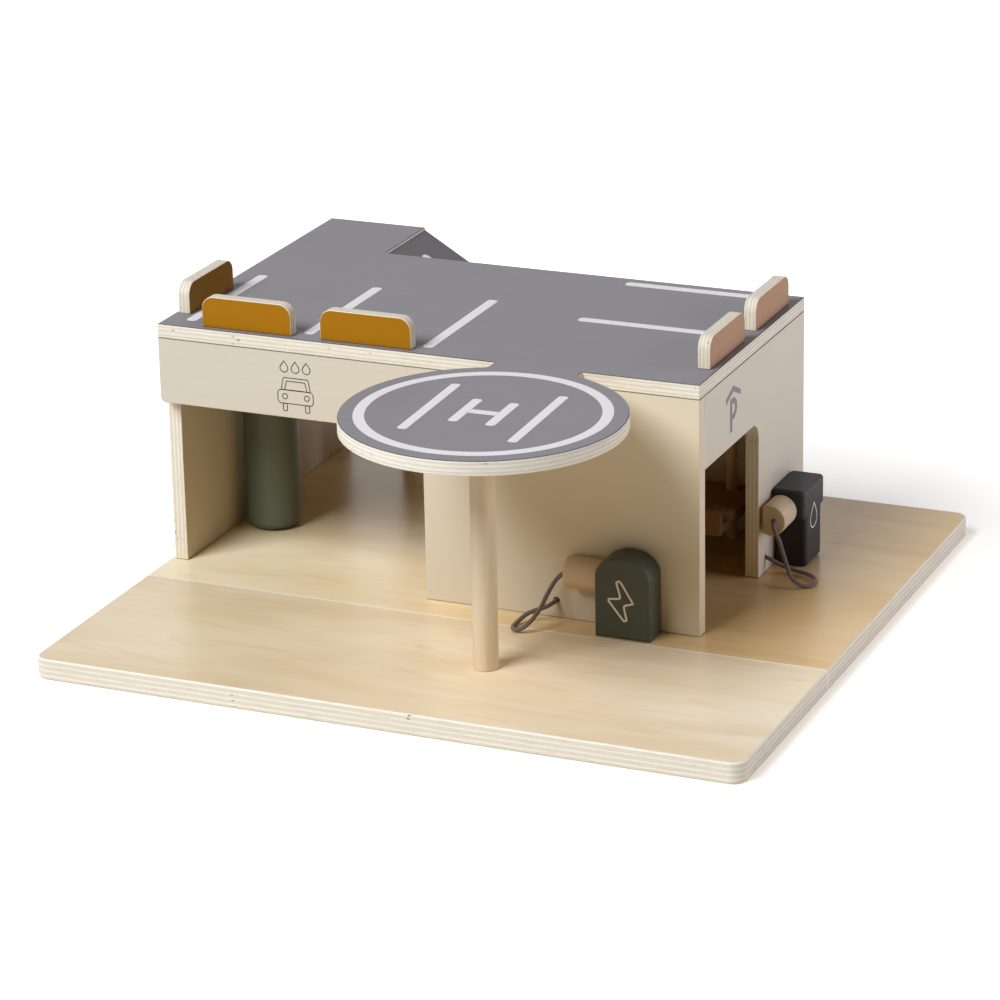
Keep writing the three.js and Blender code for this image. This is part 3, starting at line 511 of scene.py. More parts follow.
def board_material(
    name, axis, face, layers, grain, paint=None, both_sides=True, ends=None, roughness=0.5, gloss=0.35,
    grain_amount=0.1, seed=(0.0, 0.0, 0.0), drift=None, rim=0.0, lines=(),
):
    """Plywood: veneer or paint on the two faces that look along the axis, bare layers on the edges.

    Face is the place of the outer face on that axis. Without both_sides only the face that looks up the
    axis has paint. Ends names an axis whose end faces are painted as well, and drift gives the tints of
    the left and right ends, which are painted light and shade. Rim is the depth of a print's dark cut edge in
    millimetres. Each of the lines is a strip of painted light along a joint, dark for shade and pale for a
    highlight: its axis, its place on it, half its width and its tone."""
    material, tree, shader = new_material(name)
    place = object_place(tree)
    way = turned_place(tree, place, grain)
    number = "xyz".index(axis)
    parts = add_node(tree, "ShaderNodeSeparateXYZ", {0: place})
    inward = calculate(tree, "SUBTRACT", face, parts.outputs[number])
    depth = calculate(tree, "MULTIPLY", calculate(tree, "ABSOLUTE", inward), 1000.0)
    order = {"x": (2, 1, 0), "y": (0, 2, 1), "z": (0, 1, 2)}[axis]
    laid = add_node(tree, "ShaderNodeCombineXYZ", {i: parts.outputs[n] for i, n in enumerate(order)})
    edge = fill_group(tree, ply_edge, {"Depth": depth, "Place": laid.outputs[0], **layers})
    normal = add_node(tree, "ShaderNodeNewGeometry").outputs["True Normal"]
    facing = add_node(tree, "ShaderNodeSeparateXYZ", {0: normal})
    looks = facing.outputs[number]
    flat = calculate(tree, "GREATER_THAN", calculate(tree, "ABSOLUTE", looks), 0.93)
    if paint:
        coat = fill_group(tree, thin_paint, {"Color": paint, "Place": way, "Grain": grain_amount})
    if paint and both_sides:
        face_skin = coat
        face_colour = coat.outputs["Color"]
    else:
        face_skin = fill_group(tree, veneer, {"Place": way, "Seed": seed})
        face_colour = face_skin.outputs["Color"]
    if paint and not both_sides:
        coated = calculate(tree, "GREATER_THAN", looks, 0.8)
        face_colour = between(tree, coated, face_colour, coat.outputs["Color"])
    if drift:
        tint = between(tree, step_up(tree, parts.outputs[0], base_left, base_right), *drift)
        face_colour = multiply_colours(tree, face_colour, tint)
    if ends:
        sideways = calculate(tree, "ABSOLUTE", facing.outputs["xyz".index(ends)])
        flat = calculate(tree, "MAXIMUM", flat, calculate(tree, "GREATER_THAN", sideways, 0.6))
    skin = between(tree, flat, edge.outputs["Color"], face_colour)
    if rim:
        shallow = calculate(tree, "LESS_THAN", depth, rim)
        on_rim = calculate(tree, "MULTIPLY", shallow, calculate(tree, "SUBTRACT", 1.0, flat))
        skin = between(tree, on_rim, skin, rim_dark)
    for line_axis, goal, half, tone in lines:
        off = calculate(tree, "SUBTRACT", parts.outputs["xyz".index(line_axis)], goal)
        on_line = calculate(tree, "LESS_THAN", calculate(tree, "ABSOLUTE", off), half)
        skin = between(tree, calculate(tree, "MULTIPLY", on_line, 0.8), skin, tone)
    bounced = add_node(tree, "ShaderNodeLightPath").outputs["Is Diffuse Ray"]
    toned = between(tree, bounced, skin, multiply_colours(tree, skin, bounce_tint))
    tree.links.new(toned, shader.inputs["Base Color"])
    height = blend_numbers(tree, flat, edge.outputs["Height"], face_skin.outputs["Height"])
    set_relief(tree, shader, height, 0.25, 0.0002)
    sanded_roughness = 0.75
    tree.links.new(blend_numbers(tree, flat, sanded_roughness, roughness), shader.inputs["Roughness"])
    shader.inputs["Specular IOR Level"].default_value = gloss
    return material


def pick_edges(piece, wanted):
    """Goes into edit mode with those edges selected whose two ends pass the test together."""
    bpy.ops.object.mode_set(mode="EDIT")
    bpy.ops.mesh.select_mode(type="EDGE")
    bpy.ops.mesh.select_all(action="DESELECT")
    bpy.ops.object.mode_set(mode="OBJECT")
    for edge in piece.data.edges:
        a, b = (piece.data.vertices[number].co for number in edge.vertices)
        edge.select = wanted(a, b)
    bpy.ops.object.mode_set(mode="EDIT")


def near(value, goal):
    """True for two places on an axis that are less than 0.03 mm apart."""
    return abs(value - goal) < 0.00003


def corners(node):
    """The two opposite corners of a node's box."""
    low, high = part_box(node)
    return Vector(low), Vector(high)


def add_block(name, low, high):
    """A block between two corners, with its place in its mesh."""
    deselect_all()
    bpy.ops.mesh.primitive_cube_add(size=1, location=(low + high) / 2)
    block = bpy.context.object
    block.name = name
    block.scale = high - low
    bpy.ops.object.transform_apply(location=True, rotation=True, scale=True)
    return block


def apply_modifier(piece, modifier):
    bpy.context.view_layer.objects.active = piece
    bpy.ops.object.modifier_apply(modifier=modifier.name)


def combine(piece, other, operation):
    """Joins another shape to the piece, or cuts it away, and removes the other shape."""
    deselect_all()
    modifier = piece.modifiers.new("shape", "BOOLEAN")
    modifier.operation = operation
    modifier.solver = "EXACT"
    modifier.object = other
    apply_modifier(piece, modifier)
    bpy.data.objects.remove(other)


def add_rod(axis, low, high, radius, sides):
    """A round rod along an axis between two points, with its place in its mesh."""
    turns = {"x": (0, math.pi / 2, 0), "y": (math.pi / 2, 0, 0), "z": (0, 0, 0)}
    deselect_all()
    bpy.ops.mesh.primitive_cylinder_add(
        vertices=sides, radius=radius, depth=(high - low).length,
        location=(low + high) / 2, rotation=turns[axis],
    )
    bpy.ops.object.transform_apply(location=True, rotation=True, scale=True)
    return bpy.context.object


def drill_away(piece, low, high, radius, axis):
    """Drills a round hole along an axis between two points."""
    combine(piece, add_rod(axis, low, high, radius, 40), "DIFFERENCE")


def soften(piece, angle=38):
    """Smooth shading that keeps flat faces flat and makes eased edges look round."""
    deselect_all()
    piece.select_set(True)
    bpy.context.view_layer.objects.active = piece
    bpy.ops.object.shade_smooth_by_angle(angle=math.radians(angle))
    modifier = piece.modifiers.new("even_normals", "WEIGHTED_NORMAL")
    modifier.keep_sharp = True
    apply_modifier(piece, modifier)


def stand_for(piece, node, material):
    """The finished piece gets its material and takes the place of the node that it models."""
    piece.data.materials.clear()
    piece.data.materials.append(material)
    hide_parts(node)
    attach(piece, frame["nodes"][node]["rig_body"])


def dress(node, material):
    """A CAD node that keeps its shape and gets its finish."""
    piece = frame["nodes"][node]
    piece.data.materials.clear()
    piece.data.materials.append(material)


def dress_all(start, material):
    """Every CAD node whose name begins so gets the finish."""
    for node in frame["nodes"]:
        if node.startswith(start):
            dress(node, material)


def zinc_material():
    """Zinc-plated steel: a dull sheen with fine turning marks."""
    material, tree, shader = new_material("zinc_plate")
    place = object_place(tree)
    tone = between(tree, noise(tree, place, 400.0, 3.0), colour(176, 174, 166), colour(204, 202, 196))
    tree.links.new(tone, shader.inputs["Base Color"])
    marks = noise(tree, stretched(tree, place, (300.0, 300.0, 4000.0)), 1.0, 2.0)
    set_relief(tree, shader, marks, 0.2, 0.0001)
    shader.inputs["Metallic"].default_value = 1.0
    shader.inputs["Roughness"].default_value = 0.38
    return material


def turned_wood(name, pale, deep, axis):
    """Turned wood: long fibres along the axis, soft bands and small dark pores."""
    material, tree, shader = new_material(name)
    place = turned_place(tree, object_place(tree), axis)
    bands = noise(tree, stretched(tree, place, (9.0, 130.0, 130.0)), 1.0, 4.0, 0.8)
    fibres = noise(tree, stretched(tree, place, (60.0, 1500.0, 1500.0)), 1.0, 2.0)
    tone = between(tree, step_up(tree, bands, 0.3, 0.72), pale, deep)
    pores = calculate(tree, "MULTIPLY", step_up(tree, fibres, 0.62, 0.8), 0.3)
    tree.links.new(between(tree, pores, tone, colour(168, 138, 96)), shader.inputs["Base Color"])
    set_relief(tree, shader, fibres, 0.2, 0.0002)
    shader.inputs["Roughness"].default_value = 0.5
    shader.inputs["Specular IOR Level"].default_value = 0.35
    return material


base_left, base_right = spot(-2.8, 0, 0).x, spot(500, 0, 0).x
base_front, base_seam, base_rear = spot(0, 0, 0).y, spot(0, 163.75, 0).y, spot(0, 482, 0).y
base_low, base_top = 0.0, 0.015
base_corner, base_ease, seam_ease = 0.010, 0.0015, 0.0003
seam_half_width = 0.0011
screw_room, screw_sink = 0.0003, 0.0030
# Tints across each board from its left end to its right: painted light and shade, lighter at the front right
# and the rear left, darker and warmer at the rear right beside the house
front_light_tints = (1.0, 0.98, 0.94, 1.0), (1.11, 1.13, 1.2, 1.0)
rear_light_tints = (1.15, 1.17, 1.14, 1.0), (0.98, 0.82, 0.57, 1.0)


def at_seam(a, b):
    return near(a.y, base_seam) and near(b.y, base_seam)


for node, front, rear, outer, seed, drift in (
    ("base_front_board", base_front, base_seam, base_front, (0.0, 0.0, 0.0), front_light_tints),
    ("base_rear_board", base_seam, base_rear, base_rear, (4.1, 2.3, 1.4), rear_light_tints),
):
    low, high = Vector((base_left, front, base_low)), Vector((base_right, rear, base_top))
    board = add_block(node + "_birch", low, high)
    pick_edges(board, lambda a, b: near(a.x, b.x) and near(a.y, outer) and near(b.y, outer))
    bpy.ops.mesh.bevel(offset=base_corner, segments=16)
    pick_edges(board, lambda a, b: near(a.z, b.z) and not at_seam(a, b))
    bpy.ops.mesh.bevel(offset=base_ease, segments=4)
    pick_edges(board, lambda a, b: near(a.z, b.z) and at_seam(a, b))
    bpy.ops.mesh.bevel(offset=seam_ease, segments=1)
    for screw in frame["nodes"]:
        if screw.startswith(("wall_screw", "post_screw")):
            screw_low, screw_high = corners(screw)
            middle = (screw_low + screw_high) / 2
            if front < middle.y < rear:
                foot = Vector((middle.x, middle.y, -0.001))
                head = Vector((middle.x, middle.y, screw_sink))
                drill_away(board, foot, head, (screw_high.x - screw_low.x) / 2 + screw_room, "z")
    soften(board)
    birch = board_material(
        node + "_birch", "z", base_top, thick_layers, "x", roughness=0.28, gloss=0.5, seed=seed,
        drift=drift, lines=[("y", base_seam, seam_half_width, seam_highlight)],
    )
    stand_for(board, node, birch)

zinc = zinc_material()
plain_beech = turned_wood("plain_beech", colour(218, 202, 172), colour(206, 186, 152), "z")
dress_all("base_dowel", plain_beech)
dress_all(("wall_screw", "post_screw", "charger_screw", "pump_screw"), zinc)


# The house is four plywood boards on the base, painted cream on both faces, with their layered edges bare.
# Screws come up into them from below, and dowels join the front panel to the side walls.
def smooth_copy(node, name, material, ease=0.0):
    """The node's own shape as one joined mesh, with its edges eased a little, stands for the node."""
    deselect_all()
    piece = bpy.data.objects.new(name, frame["nodes"][node].data.copy())
    bpy.context.scene.collection.objects.link(piece)
    bpy.context.view_layer.objects.active = piece
    piece.select_set(True)
    bpy.ops.object.mode_set(mode="EDIT")
    bpy.ops.mesh.select_all(action="SELECT")
    bpy.ops.mesh.remove_doubles(threshold=0.00002)
    bpy.ops.object.mode_set(mode="OBJECT")
    if ease:
        modifier = piece.modifiers.new("ease", "BEVEL")
        modifier.width = ease
        modifier.segments = 2
        modifier.limit_method = "ANGLE"
        modifier.angle_limit = math.radians(50)
        apply_modifier(piece, modifier)
    soften(piece, 50)
    stand_for(piece, node, material)


thin_layers = {
    "First": 2.0, "Period": 2.9, "Half Line": 0.5,
    "Ground": colour(240, 236, 222), "Line": colour(224, 217, 201),
}
cream, cream_grain = colour(210, 204, 188), 0.06
house_left, house_right, house_front, house_rear = 0.8, 401.3, 189.2, 399.5
house_top_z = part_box("front_panel")[1][2]
# Thin dark lines at the foot and the top of each house board are painted shade in their joints with the base
# and the deck
joint_shade, joint_half_width = colour(70, 52, 34), 0.0005
house_joint_shade = [("z", height, joint_half_width, joint_shade) for height in (base_top, house_top_z)]
# The front panel grows lighter and warmer towards its right end: painted light for the warm light that
# bounces onto it under the pad
panel_light_tints = (1.0, 1.0, 1.0, 1.0), (1.11, 1.06, 0.96, 1.0)
for node, axis, face, grain, ends, drift in (
    ("left_wall", "x", spot(house_left, 0, 0).x, "z", None, None),
    ("right_wall", "x", spot(house_right, 0, 0).x, "z", None, None),
    ("front_panel", "y", spot(0, house_front, 0).y, "x", "x", panel_light_tints),
    ("rear_panel", "y", spot(0, house_rear, 0).y, "x", None, None),
):
    paint = board_material(
        node + "_cream", axis, face, thin_layers, grain, cream, ends=ends, grain_amount=cream_grain,
        drift=drift, lines=house_joint_shade,
    )
    smooth_copy(node, node + "_painted", paint, ease=0.0005)
dress_all("corner_dowel", plain_beech)


# The roof deck, its tail, the neck and the round pad are one plywood board with a printed grey top.
# It lies on dowels in the tops of the walls; its bare edge shows seven pale layers.
deck_top = 177.5
deck_top_z = spot(0, 0, deck_top).z
print_grain = 0.16
deck_print = board_material(
    "deck_grey_print", "z", deck_top_z, thin_layers, "x", colour(132, 129, 134), both_sides=False,
    grain_amount=print_grain, roughness=0.55, rim=0.42,
)
smooth_copy("deck_board", "deck_board_printed", deck_print, ease=0.0004)
dress_all("deck_dowel", plain_beech)


def ink_material(name, tone):
    """A printed mark: thin ink with a fine grain."""
    material, tree, shader = new_material(name)
    coat = fill_group(tree, thin_paint, {"Color": tone, "Place": object_place(tree), "Grain": 0.08})
    tree.links.new(coat.outputs["Color"], shader.inputs["Base Color"])
    set_relief(tree, shader, coat.outputs["Height"], 0.2, 0.0001)
    shader.inputs["Roughness"].default_value = 0.55
    return material


ink_thick = 0.00012


def print_shape(name, points, place, ink, corner=0.0, line=0.0, lean=0.0):
    """A flat printed shape through the points, with all sizes in millimetres. Place turns a point into a
    spot, corner rounds the corners, with a line width only the outline is printed, and lean turns it."""
    deselect_all()
    bpy.ops.mesh.primitive_circle_add(vertices=len(points), radius=0.01, fill_type="NGON")
    shape = bpy.context.object
    shape.name = name
    middle_u = sum(point[0] for point in points) / len(points)
    middle_v = sum(point[1] for point in points) / len(points)
    for vertex, (u, v) in zip(shape.data.vertices, points):
        du, dv = u - middle_u, v - middle_v
        turned_u = middle_u + du * math.cos(lean) - dv * math.sin(lean)
        turned_v = middle_v + du * math.sin(lean) + dv * math.cos(lean)
        vertex.co = place(turned_u, turned_v)
    bpy.ops.object.mode_set(mode="EDIT")
    bpy.ops.mesh.select_all(action="SELECT")
    if corner:
        bpy.ops.mesh.bevel(offset=corner / 1000, segments=6, affect="VERTICES")
        bpy.ops.mesh.select_all(action="SELECT")
    if line:
        bpy.ops.mesh.select_mode(type="FACE")
        bpy.ops.mesh.inset(thickness=line / 1000, depth=0)
        bpy.ops.mesh.delete(type="FACE")
        bpy.ops.mesh.select_all(action="SELECT")
    inward = (place(0, 0) - place(1, 0)).cross(place(0, 1) - place(0, 0))
    bpy.ops.object.mode_set(mode="OBJECT")
    if shape.data.polygons[0].normal.dot(inward) > 0:
        shape.data.flip_normals()
    modifier = shape.modifiers.new("ink", "SOLIDIFY")
    modifier.thickness = ink_thick
    modifier.offset = 1
    apply_modifier(shape, modifier)
    shape.data.materials.append(ink)
    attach(shape, "root")


def box_points(u0, v0, u1, v1):
    return [(u0, v0), (u1, v0), (u1, v1), (u0, v1)]


def round_points(u, v, radius, count=40):
    angles = [2 * math.pi * number / count for number in range(count)]
    return [(u + radius * math.cos(angle), v + radius * math.sin(angle)) for angle in angles]


def on_deck(x, y):
    return spot(x, y, deck_top)


white_ink = ink_material("white_ink", colour(236, 234, 236))
for name, x0, y0, x1, y1 in (
    ("bay_line_1", 15.9, 203, 23.5, 318.5),
    ("bay_line_2", 106.2, 203, 113.8, 318.5),
    ("bay_line_3", 195.5, 203, 203.1, 318.5),
    ("side_line_1", 272, 293.5, 390, 301.5),
    ("side_line_2", 272, 382.8, 390, 390.8),
):
    print_shape(name, box_points(x0, y0, x1, y1), on_deck, white_ink, corner=3)


# The ring and the letter H between two bars on the round pad are printed in white ink.
# The whole print was laid on a little askew.
pad_x, pad_y = 289.8, 90.0
print_shape("pad_ring", round_points(pad_x, pad_y, 84.3, 192), on_deck, white_ink, line=7.5)
askew = math.radians(1.75)
for name, x0, y0, x1, y1 in (
    ("pad_bar_left", 248.2, 42.5, 254.9, 138),
    ("pad_bar_right", 324.7, 42.5, 331.4, 138),
    ("pad_letter_left", 273.4, 67.5, 280.1, 114),
    ("pad_letter_right", 299.4, 67.5, 306.1, 114),
):
    print_shape(name, box_points(x0, y0, x1, y1), on_deck, white_ink, corner=2.2, lean=askew)
print_shape("pad_letter_cross", box_points(279.9, 86.8, 299.6, 93.9), on_deck, white_ink, lean=askew)


# The pad stands on one round post, a turned birch dowel with a coat of clear lacquer.
# One screw comes up into its foot through the base.
def add_dowel(name, x, y, low, high, radius, low_ease, high_ease):
    """An upright turned dowel with rounded ends."""
    foot, head = spot(x, y, low), spot(x, y, high)
    dowel = add_rod("z", foot, head, radius, 96)
    dowel.name = name
    for end, ease in ((foot.z, low_ease), (head.z, high_ease)):
        pick_edges(dowel, lambda a, b: near(a.z, end) and near(b.z, end))
        bpy.ops.mesh.bevel(offset=ease, segments=8)
    bpy.ops.object.mode_set(mode="OBJECT")
    return dowel


post_radius, post_ease = 0.0085, 0.0006
post = add_dowel("helipad_post_turned", 288, 90, 0, 167.5, post_radius, post_ease, post_ease)
soften(post)
post_birch = turned_wood("post_birch", colour(222, 208, 182), colour(212, 195, 163), "z")
stand_for(post, "helipad_post", post_birch)


# The ramp runs down behind the house from the deck's tail; a block on a plywood leg carries its upper end.
# Its face is printed grey with a row of white dashes down the middle. Its grey is darker than the deck's as
# painted shade, for a face that slopes away from the light.
ramp_start_x, ramp_start_z, ramp_run = 78.2, 175.5, 292.0
ramp_fall = ramp_start_z / ramp_run
# The ramp's grey is the deck's print grey, darkened as painted shade
ramp_shaded_grey = colour(100, 96, 100)


def ramp_material():
    """Grey print on the face that looks up, bare layers on the long sides, bare birch elsewhere."""
    material, tree, shader = new_material("ramp_grey_print")
    place = object_place(tree)
    parts = add_node(tree, "ShaderNodeSeparateXYZ", {0: place})
    upper = spot(ramp_start_x, 0, ramp_start_z)
    run = calculate(tree, "SUBTRACT", parts.outputs[0], upper.x)
    face_z = calculate(tree, "MULTIPLY_ADD", run, -ramp_fall, upper.z)
    below = calculate(tree, "SUBTRACT", face_z, parts.outputs[2])
    depth = calculate(tree, "MULTIPLY", below, 1000.0 / math.hypot(1, ramp_fall))
    laid = add_node(tree, "ShaderNodeCombineXYZ", {0: parts.outputs[0], 1: parts.outputs[1], 2: below})
    edge = fill_group(tree, ply_edge, {"Depth": depth, "Place": laid.outputs[0], **thin_layers})
    coat = fill_group(tree, thin_paint, {"Color": ramp_shaded_grey, "Place": place, "Grain": print_grain})
    bare = fill_group(tree, veneer, {"Place": place, "Seed": (5.1, 0.3, 1.9)})
    normal = add_node(tree, "ShaderNodeNewGeometry").outputs["True Normal"]
    facing = add_node(tree, "ShaderNodeSeparateXYZ", {0: normal})
    upward = calculate(tree, "GREATER_THAN", facing.outputs[2], 0.8)
    side = calculate(tree, "GREATER_THAN", calculate(tree, "ABSOLUTE", facing.outputs[1]), 0.5)
    skin = between(tree, side, bare.outputs["Color"], edge.outputs["Color"])
    tree.links.new(between(tree, upward, skin, coat.outputs["Color"]), shader.inputs["Base Color"])
    set_relief(tree, shader, coat.outputs["Height"], 0.25, 0.0002)
    shader.inputs["Roughness"].default_value = 0.6
    shader.inputs["Specular IOR Level"].default_value = 0.35
    return material


def on_ramp(x, y):
    return spot(x, y, ramp_start_z - (x - ramp_start_x) * ramp_fall)


smooth_copy("ramp_board", "ramp_board_printed", ramp_material())
leg_face, cleat_face = spot(ramp_start_x, 0, 0).x, spot(0, 470, 0).y
leg_cream = board_material("ramp_leg_cream", "x", leg_face, thin_layers, "z", cream, grain_amount=cream_grain)
smooth_copy("ramp_leg", "ramp_leg_painted", leg_cream)
cleat_birch = board_material("ramp_cleat_birch", "y", cleat_face, thick_layers, "x")
smooth_copy("ramp_cleat", "ramp_cleat_birch", cleat_birch)
dash_start, dash_long, dash_step = 92.0, 28.0, 52.0
for number in range(5):
    start = dash_start + number * dash_step
    dash = box_points(start, 431.2, start + dash_long, 439.8)
    print_shape("ramp_dash_%d" % (number + 1), dash, on_ramp, white_ink, corner=4)


# Five plywood kerbs with round upper corners stand on dowels along the deck's edges, three of them mustard
# and two clay. Their broad faces are painted and their thin edges are bare. The left one's mustard is darker,
# as painted shade, and a dark line along the foot of each kerb is painted shade.
kerb_layers = {
    "First": 1.75, "Period": 2.7, "Half Line": 0.5,
    "Ground": colour(236, 230, 214), "Line": colour(220, 211, 192),
}
kerb_corner, kerb_ease = 0.009, 0.0008
mustard = colour(166, 112, 3)
# Painted shade: the left kerb's face is turned from the light, so its mustard is darker
shaded_mustard = colour(132, 92, 20)
clay = colour(180, 142, 114)
for node, long_axis, tone, slot in (
    ("kerb_left", "y", shaded_mustard, "mustard_paint"),
    ("kerb_front_left", "x", mustard, "mustard_paint"),
    ("kerb_front_right", "x", mustard, "mustard_paint"),
    ("kerb_right_front", "y", clay, "clay_paint"),
    ("kerb_right_rear", "y", clay, "clay_paint"),
):
    low, high = corners(node)
    kerb = add_block(node + "_painted", low, high)
    thin = 1 if long_axis == "x" else 0
    pick_edges(kerb, lambda a, b: near(a.z, high.z) and near(b.z, high.z) and not near(a[thin], b[thin]))
    bpy.ops.mesh.bevel(offset=kerb_corner, segments=12)
    pick_edges(kerb, lambda a, b: near(a[thin], b[thin]))
    bpy.ops.mesh.bevel(offset=kerb_ease, segments=3)
    bpy.ops.object.mode_set(mode="OBJECT")
    soften(kerb)
    # The line at the deck top is painted shade along each kerb's foot
    paint = board_material(
        node + "_paint", "xyz"[thin], low[thin], kerb_layers, long_axis, tone, roughness=0.6, gloss=0.15,
        lines=[("z", deck_top_z, joint_half_width, joint_shade)],
    )
    stand_for(kerb, node, paint)
dress_all("kerb_dowel", plain_beech)


# The wash roller is turned from thick beech and painted sage. It turns on a fixed dowel from base to deck,
# with a thin beech washer under it.
def painted_wood(name, tone, roughness=0.5, gloss=0.35):
    """Solid upright wood under an even coat of matt paint."""
    material, tree, shader = new_material(name)
    way = turned_place(tree, object_place(tree), "z")
    coat = fill_group(tree, thin_paint, {"Color": tone, "Place": way, "Grain": 0.1})
    tree.links.new(coat.outputs["Color"], shader.inputs["Base Color"])
    set_relief(tree, shader, coat.outputs["Height"], 0.2, 0.00015)
    shader.inputs["Roughness"].default_value = roughness
    shader.inputs["Specular IOR Level"].default_value = gloss
    return material


roller_x, roller_y = 35.4, 288.5
roller_radius, roller_bore, roller_low_ease, roller_high_ease = 0.0198, 0.0043, 0.006, 0.0015
roller = add_dowel(
    "wash_roller_turned", roller_x, roller_y, 0.8, 165.5, roller_radius, roller_low_ease, roller_high_ease
)
drill_away(roller, spot(roller_x, roller_y, -4), spot(roller_x, roller_y, 170), roller_bore, "z")
soften(roller)
stand_for(roller, "wash_roller", painted_wood("wash_roller_sage", colour(98, 108, 97)))
dress("wash_axle", plain_beech)
dress("wash_spacer", plain_beech)


# The sign over the wash bay is a printed line drawing of a car under three drops.
# Its thin lines are dark ink on the cream header.
def on_front(x, z):
    return spot(x, house_front, z)


def drop_points(u, low, high, wide, count=24):
    """A drop: round below, with straight flanks up to a point."""
    radius = wide / 2
    centre = low + radius
    reach = math.acos(radius / (high - centre))
    start = math.pi / 2 - reach
    turns = [start - (2 * math.pi - 2 * reach) * number / count for number in range(count + 1)]
    return [(u, high)] + [(u + radius * math.cos(turn), centre + radius * math.sin(turn)) for turn in turns]


sign_ink = ink_material("sign_ink", colour(72, 64, 58))
for name, points, corner in (
    ("wash_drop_1", drop_points(97.7, 152.7, 161.6, 6.6), 0),
    ("wash_drop_2", drop_points(106.2, 152.7, 161.6, 6.6), 0),
    ("wash_drop_3", drop_points(114.6, 152.7, 161.6, 6.6), 0),
    ("wash_car_cab", [(94.7, 140), (117.6, 140), (115.9, 149.4), (96.6, 149.4)], 0.9),
    ("wash_car_window", [(97.2, 140), (115.1, 140), (113.4, 147), (99, 147)], 0.6),
    ("wash_car_body", box_points(92, 130.2, 119.5, 140.6), 3),
    ("wash_car_lamp_left", round_points(97.8, 135.6, 2.2), 0),
    ("wash_car_wheel_left", box_points(95.8, 124.9, 99.5, 130.8), 1),
    ("wash_car_lamp_right", round_points(114.4, 135.6, 2.2), 0),
    ("wash_car_wheel_right", box_points(112.8, 124.9, 116.5, 130.8), 1),
):
    print_shape(name, points, on_front, sign_ink, corner=corner, line=0.62)


# The charger is a solid block in olive paint with an arched top, screwed to the front panel from behind.
# A lightning bolt is printed on its face, and the pin of its plug goes into a hole in its side.
charger_low, charger_high = corners("charger_block")
charger_middle = (charger_low + charger_high) / 2
charger_ease = 0.0024
arch_high = 0.015
arch_foot = charger_high.z - arch_high
socket_radius = 0.0038
deselect_all()
bpy.ops.mesh.primitive_cylinder_add(
    vertices=128, radius=1, depth=charger_high.y - charger_low.y, rotation=(math.pi / 2, 0, 0),
)
charger = bpy.context.object
charger.name = "charger_block_painted"
bpy.ops.object.transform_apply(location=False, rotation=True, scale=False)
charger.scale = ((charger_high.x - charger_low.x) / 2, 1, arch_high)
charger.location = (charger_middle.x, charger_middle.y, arch_foot)
bpy.ops.object.transform_apply(location=True, rotation=True, scale=True)
bpy.ops.object.mode_set(mode="EDIT")
bpy.ops.mesh.select_all(action="SELECT")
bpy.ops.mesh.bisect(plane_co=(0, 0, arch_foot), plane_no=(0, 0, 1), use_fill=True, clear_inner=True)
bpy.ops.object.mode_set(mode="OBJECT")
for polygon in charger.data.polygons:
    polygon.select = polygon.normal.z < -0.9
bpy.ops.object.mode_set(mode="EDIT")
bpy.ops.mesh.select_mode(type="FACE")
bpy.ops.mesh.extrude_region_move(TRANSFORM_OT_translate={"value": (0, 0, charger_low.z - arch_foot)})


def on_charger_rim(a, b):
    """True for the edges round the front and back faces, apart from the flat one where the arch begins."""
    at_face = near(a.y, b.y) and (near(a.y, charger_low.y) or near(a.y, charger_high.y))
    return at_face and not (near(a.z, arch_foot) and near(b.z, arch_foot))


pick_edges(charger, on_charger_rim)
bpy.ops.mesh.bevel(offset=charger_ease, segments=6)
bpy.ops.object.mode_set(mode="OBJECT")
plug_y, plug_z = 182.8, 37.3
drill_away(charger, spot(340, plug_y, plug_z), spot(349.5, plug_y, plug_z), socket_radius, "x")
soften(charger)
olive = painted_wood("charger_olive", colour(64, 68, 54), roughness=0.55)
stand_for(charger, "charger_block", olive)


def on_charger(x, z):
    return spot(x, 166.3, z)


bolt = [
    (351.8, 42.6), (349.6, 40.8), (352.6, 30), (344.2, 28.9), (344, 26.7),
    (355.4, 12.7), (358.4, 14), (356.3, 24.1), (363.5, 26.4), (354, 41.7),
]
pale_ink = ink_material("pale_ink", colour(214, 208, 196))
print_shape("charger_bolt", bolt, on_charger, pale_ink, corner=0.9, line=1.4)


# The plug is a short thick beech dowel with one flat side, its rims eased and a thin pin at its end.
# The cord is glued into a small hole that is drilled in its other end, off its middle.
grip_radius, grip_flat, grip_ease, flat_ease = 0.011, 0.0059, 0.001, 0.0005
pin_radius, pin_long, pin_ease = 0.0035, 0.014, 0.0006
cord_hole_radius, cord_hole_deep = 0.0021, 0.004
grip_pale, grip_deep = colour(214, 198, 170), colour(202, 182, 149)


